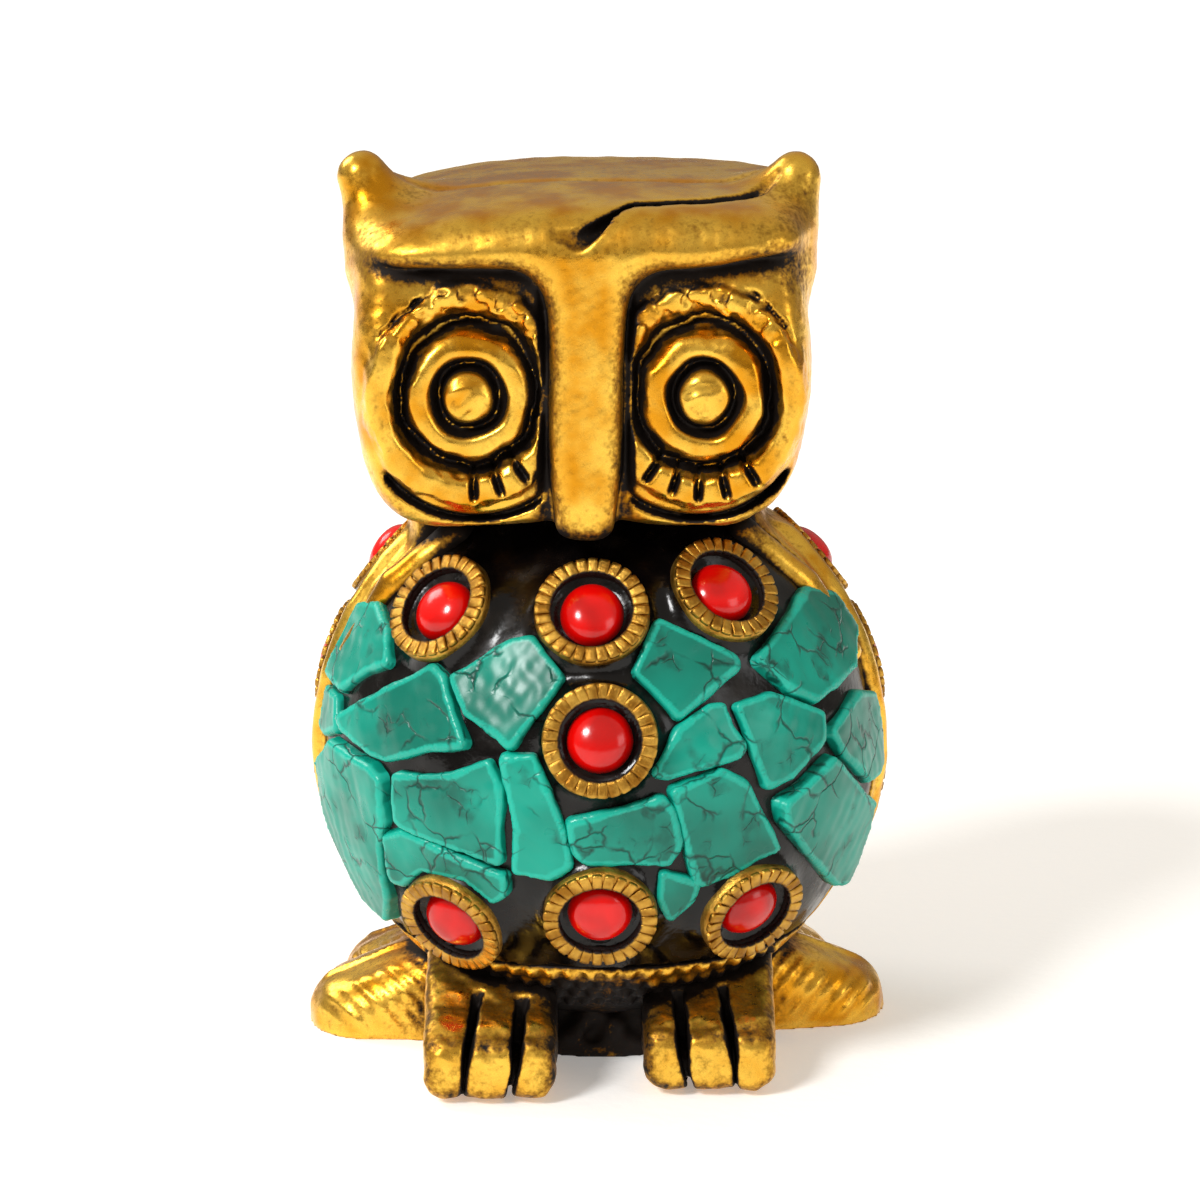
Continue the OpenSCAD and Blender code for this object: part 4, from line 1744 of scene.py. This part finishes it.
@dataclass
class Slab:
    """A slab of turquoise: sawn flat, its edges tumbled round and its face a little uneven."""

    node: str
    figure: Figure
    finish: bpy.types.Material
    voxel: float = 0.16
    smoothing: int = 5
    smooth_share: float = 0.6
    uneven: float = 0.09
    fine_uneven: float = 0.03
    swell: float = 0.38
    face_swell: float = 0.08

    def copied(self) -> bpy.types.Object:
        """A merged copy of the CAD slab.

        Returns:
            The copy as an object.
        """
        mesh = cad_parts[self.node].data.copy()
        mesh.name = f"slab_{self.node}"
        work = bmesh.new()
        work.from_mesh(mesh)
        bmesh.ops.remove_doubles(work, verts=work.verts, dist=0.002 * MM)
        work.to_mesh(mesh)
        work.free()
        mesh.materials.clear()
        return linked(mesh.name, mesh)

    def tumbled(self, piece: bpy.types.Object) -> bpy.types.Object:
        """Rounds the edges by remeshing finely and smoothing.

        Args:
            piece: The piece.

        Returns:
            The same piece with its new mesh.
        """
        remesh = piece.modifiers.new("remesh", "REMESH")
        remesh.mode = "VOXEL"
        remesh.voxel_size = self.voxel * MM
        smooth = piece.modifiers.new("tumble", "SMOOTH")
        smooth.factor = self.smooth_share
        smooth.iterations = self.smoothing
        mesh, old = settled_mesh(piece), piece.data
        piece.modifiers.clear()
        piece.data = mesh
        bpy.data.meshes.remove(old)
        mesh.name = piece.name
        return piece

    def build(self) -> bpy.types.Object:
        """Makes the slab and marks its edges for the painted highlight and its low parts for painted shade.

        Returns:
            The finished piece.
        """
        piece = self.tumbled(self.copied())
        p, n = vertices_of(piece), normals_of(piece)
        seed = seed_of(self.node)
        out = p - self.figure.belly
        facing = ((out * n).sum(axis=1) / np.linalg.norm(out, axis=1)) ** 2
        swell = self.swell * (1.0 - facing) + self.face_swell * facing
        rough = self.uneven * ripple(p, 5.0, seed) + self.fine_uneven * ripple(p, 1.6, seed + 1)
        p = p + (rough + swell)[:, None] * n
        piece.data.vertices.foreach_set("co", (p * MM).astype(np.float32).ravel())
        piece.data.update()
        # The edges' outward bend, for the painted highlight along them.
        write_layer(piece, "worn", rubbed(piece))
        # Painted shade on the slab's low parts, next to the lac.
        low = np.linalg.norm(p - self.figure.belly, axis=1) - self.figure.belly_r
        write_layer(piece, "hollow", ease((0.35 - low) / 0.7))
        piece.data.shade_smooth()
        dress(piece, self.finish, [self.node])
        return piece


def rubbed(piece: bpy.types.Object) -> np.ndarray:
    """How sharply the surface bends outwards at each vertex, from 0 to 1.

    Args:
        piece: The piece.

    Returns:
        A number for each vertex.
    """
    mesh = piece.data
    p, n = vertices_of(piece), normals_of(piece)
    ends = np.empty(len(mesh.edges) * 2, np.int32)
    mesh.edges.foreach_get("vertices", ends)
    a, b = ends.reshape(-1, 2).T
    count = np.bincount(a, minlength=len(p)) + np.bincount(b, minlength=len(p))

    def spread(values: np.ndarray) -> np.ndarray:
        """The mean over each vertex's neighbours."""
        total = np.bincount(a, values[b], len(p)) + np.bincount(b, values[a], len(p))
        return total / np.maximum(count, 1)

    rounds, sharpest = 4, 0.012
    mean = np.stack([spread(p[:, axis]) for axis in range(3)], 1)
    bend = ((p - mean) * n).sum(axis=1)
    for _ in range(rounds):
        bend = 0.5 * bend + 0.5 * spread(bend)
    return np.clip(bend / sharpest, 0.0, 1.0)


@dataclass
class Core:
    """The clay core, seen only as a plug in the underside."""

    finish: bpy.types.Material

    def build(self) -> bpy.types.Object:
        """Gives the CAD core its finish.

        Returns:
            The finished piece.
        """
        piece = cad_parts["clay_core"]
        piece.data.materials.clear()
        piece.data.materials.append(self.finish)
        return piece


# ---- Studio ---------------------------------------------------------------------------------


@dataclass(frozen=True)
class Studio:
    """A white paper floor, three soft lights and the camera."""

    figure: Figure
    distance: float = 340.0
    elevation: float = 13.0
    aim: tuple = (0.0, -2.5, 37.9)
    lens: float = 121.4
    room: tuple = (0.2, 0.55)
    floor_z: float = -0.02
    floor_span: float = 20.0
    key_from: tuple = (-0.62, -0.7, 0.75)
    key_spread: float = 16.0
    key_power: float = 2.6
    softboxes: tuple = (
        ("fill_softbox", (400.0, -260.0, 160.0), 200.0, 0.3),
        ("rim_softbox", (-330.0, 200.0, 330.0), 200.0, 0.8),
    )
    walls: str = "#FFF6E8"

    def floor(self, paper: bpy.types.Material) -> None:
        """A wide flat sheet of paper.

        Args:
            paper: The floor's material.
        """
        half = self.distance * self.floor_span
        corners = [(x * half, y * half, self.floor_z) for x, y in ((-1, -1), (1, -1), (1, 1), (-1, 1))]
        floor = mesh_object("paper_floor", np.array(corners), [(0, 1, 2, 3)])
        floor.data.materials.append(paper)

    def key(self) -> None:
        """The key light, soft and even over the whole floor."""
        data = bpy.data.lights.new("key", "SUN")
        data.angle = math.radians(self.key_spread)
        data.energy = self.key_power
        lamp = linked("key", data)
        lamp.rotation_euler = (-Vector(self.key_from)).to_track_quat("-Z", "Y").to_euler()

    def light(self, name: str, place: tuple, size: float, power: float) -> None:
        """One soft square light, aimed at the figure.

        Args:
            name: Its name.
            place: Where it hangs, in millimetres.
            size: Length of its sides.
            power: Its strength, in watts.
        """
        data = bpy.data.lights.new(name, "AREA")
        data.size = size * MM
        data.energy = power
        lamp = linked(name, data)
        lamp.location = Vector(place) * MM
        lamp.rotation_euler = (Vector(self.aim) * MM - lamp.location).to_track_quat("-Z", "Y").to_euler()

    def surroundings(self) -> None:
        """A pale room for the metal to reflect: bright overhead, dimmer towards the floor."""
        world = bpy.data.worlds.new("studio")
        world.use_nodes = True
        n = Nodes(world.node_tree)
        parts = n.add("ShaderNodeSeparateXYZ", {0: n.add("ShaderNodeTexCoord")})
        fade = {"Value": parts.outputs["Z"], "From Min": -0.1, "From Max": 0.7, "To Min": self.room[0],
                "To Max": self.room[1]}
        strength = n.add("ShaderNodeMapRange", fade, **SMOOTH)
        sky = n.add("ShaderNodeBackground", {"Color": linear(self.walls), "Strength": strength})
        n.add("ShaderNodeOutputWorld", {"Surface": sky})
        bpy.context.scene.world = world

    def build(self, paper: bpy.types.Material) -> None:
        """Sets up the studio.

        Args:
            paper: The floor's material.
        """
        self.floor(paper)
        self.key()
        for name, place, size, power in self.softboxes:
            self.light(name, place, size, power)
        self.surroundings()
        bpy.context.scene.view_settings.view_transform = "Standard"
        data = bpy.data.cameras.new("camera")
        data.lens = self.lens
        data.clip_start = 0.01
        camera = linked("camera", data)
        tilt = math.radians(self.elevation)
        away = Vector((0.0, -math.cos(tilt), math.sin(tilt))) * self.distance
        camera.location = (Vector(self.aim) + away) * MM
        camera.rotation_euler = (-away).to_track_quat("-Z", "Y").to_euler()
        bpy.context.scene.camera = camera


def main() -> None:
    """Builds the owl piece by piece."""
    logging.basicConfig(level=logging.INFO, format="%(name)s %(message)s")
    figure = Figure.from_frame()
    panels = Panels(figure)
    log.info("belly at %s, radius %.2f mm", figure.belly.round(2), figure.belly_r)
    Casting(figure, panels, CastBrass().build()).build()
    Core(FiredClay().build()).build()

    nodes = sorted(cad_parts)
    seats = [Seat(name[len("bezel_") :], figure) for name in nodes if name.startswith("bezel_")]
    bezel_brass = BezelBrass().build()
    coral = Coral().build()
    tree = RimTree(bezel_brass)
    for seat in seats:
        Bezel(seat, tree, bezel_brass).build()
        Cabochon(seat, coral).build()

    lac = BlackLac().build()
    chest_seats = [seat for seat in seats if "wing" not in seat.name]
    LacBed("chest_lac", figure, panels.chest, chest_seats, lac).build()
    for side in Side:
        own = [seat for seat in seats if seat.name.startswith(f"{side.word}_wing")]
        half = side.value

        def outline(p: np.ndarray, half: int = half) -> np.ndarray:
            """The wing's recess, on this side only."""
            return np.maximum(panels.wing(p), -half * p[:, 0])

        LacBed(f"{side.word}_wing_lac", figure, outline, own, lac).build()

    turquoise = Turquoise().build()
    for name in nodes:
        if name.startswith("turquoise_"):
            Slab(name, figure, turquoise).build()

    Studio(figure).build(StudioPaper().build())


if __name__ == "__main__":
    main()
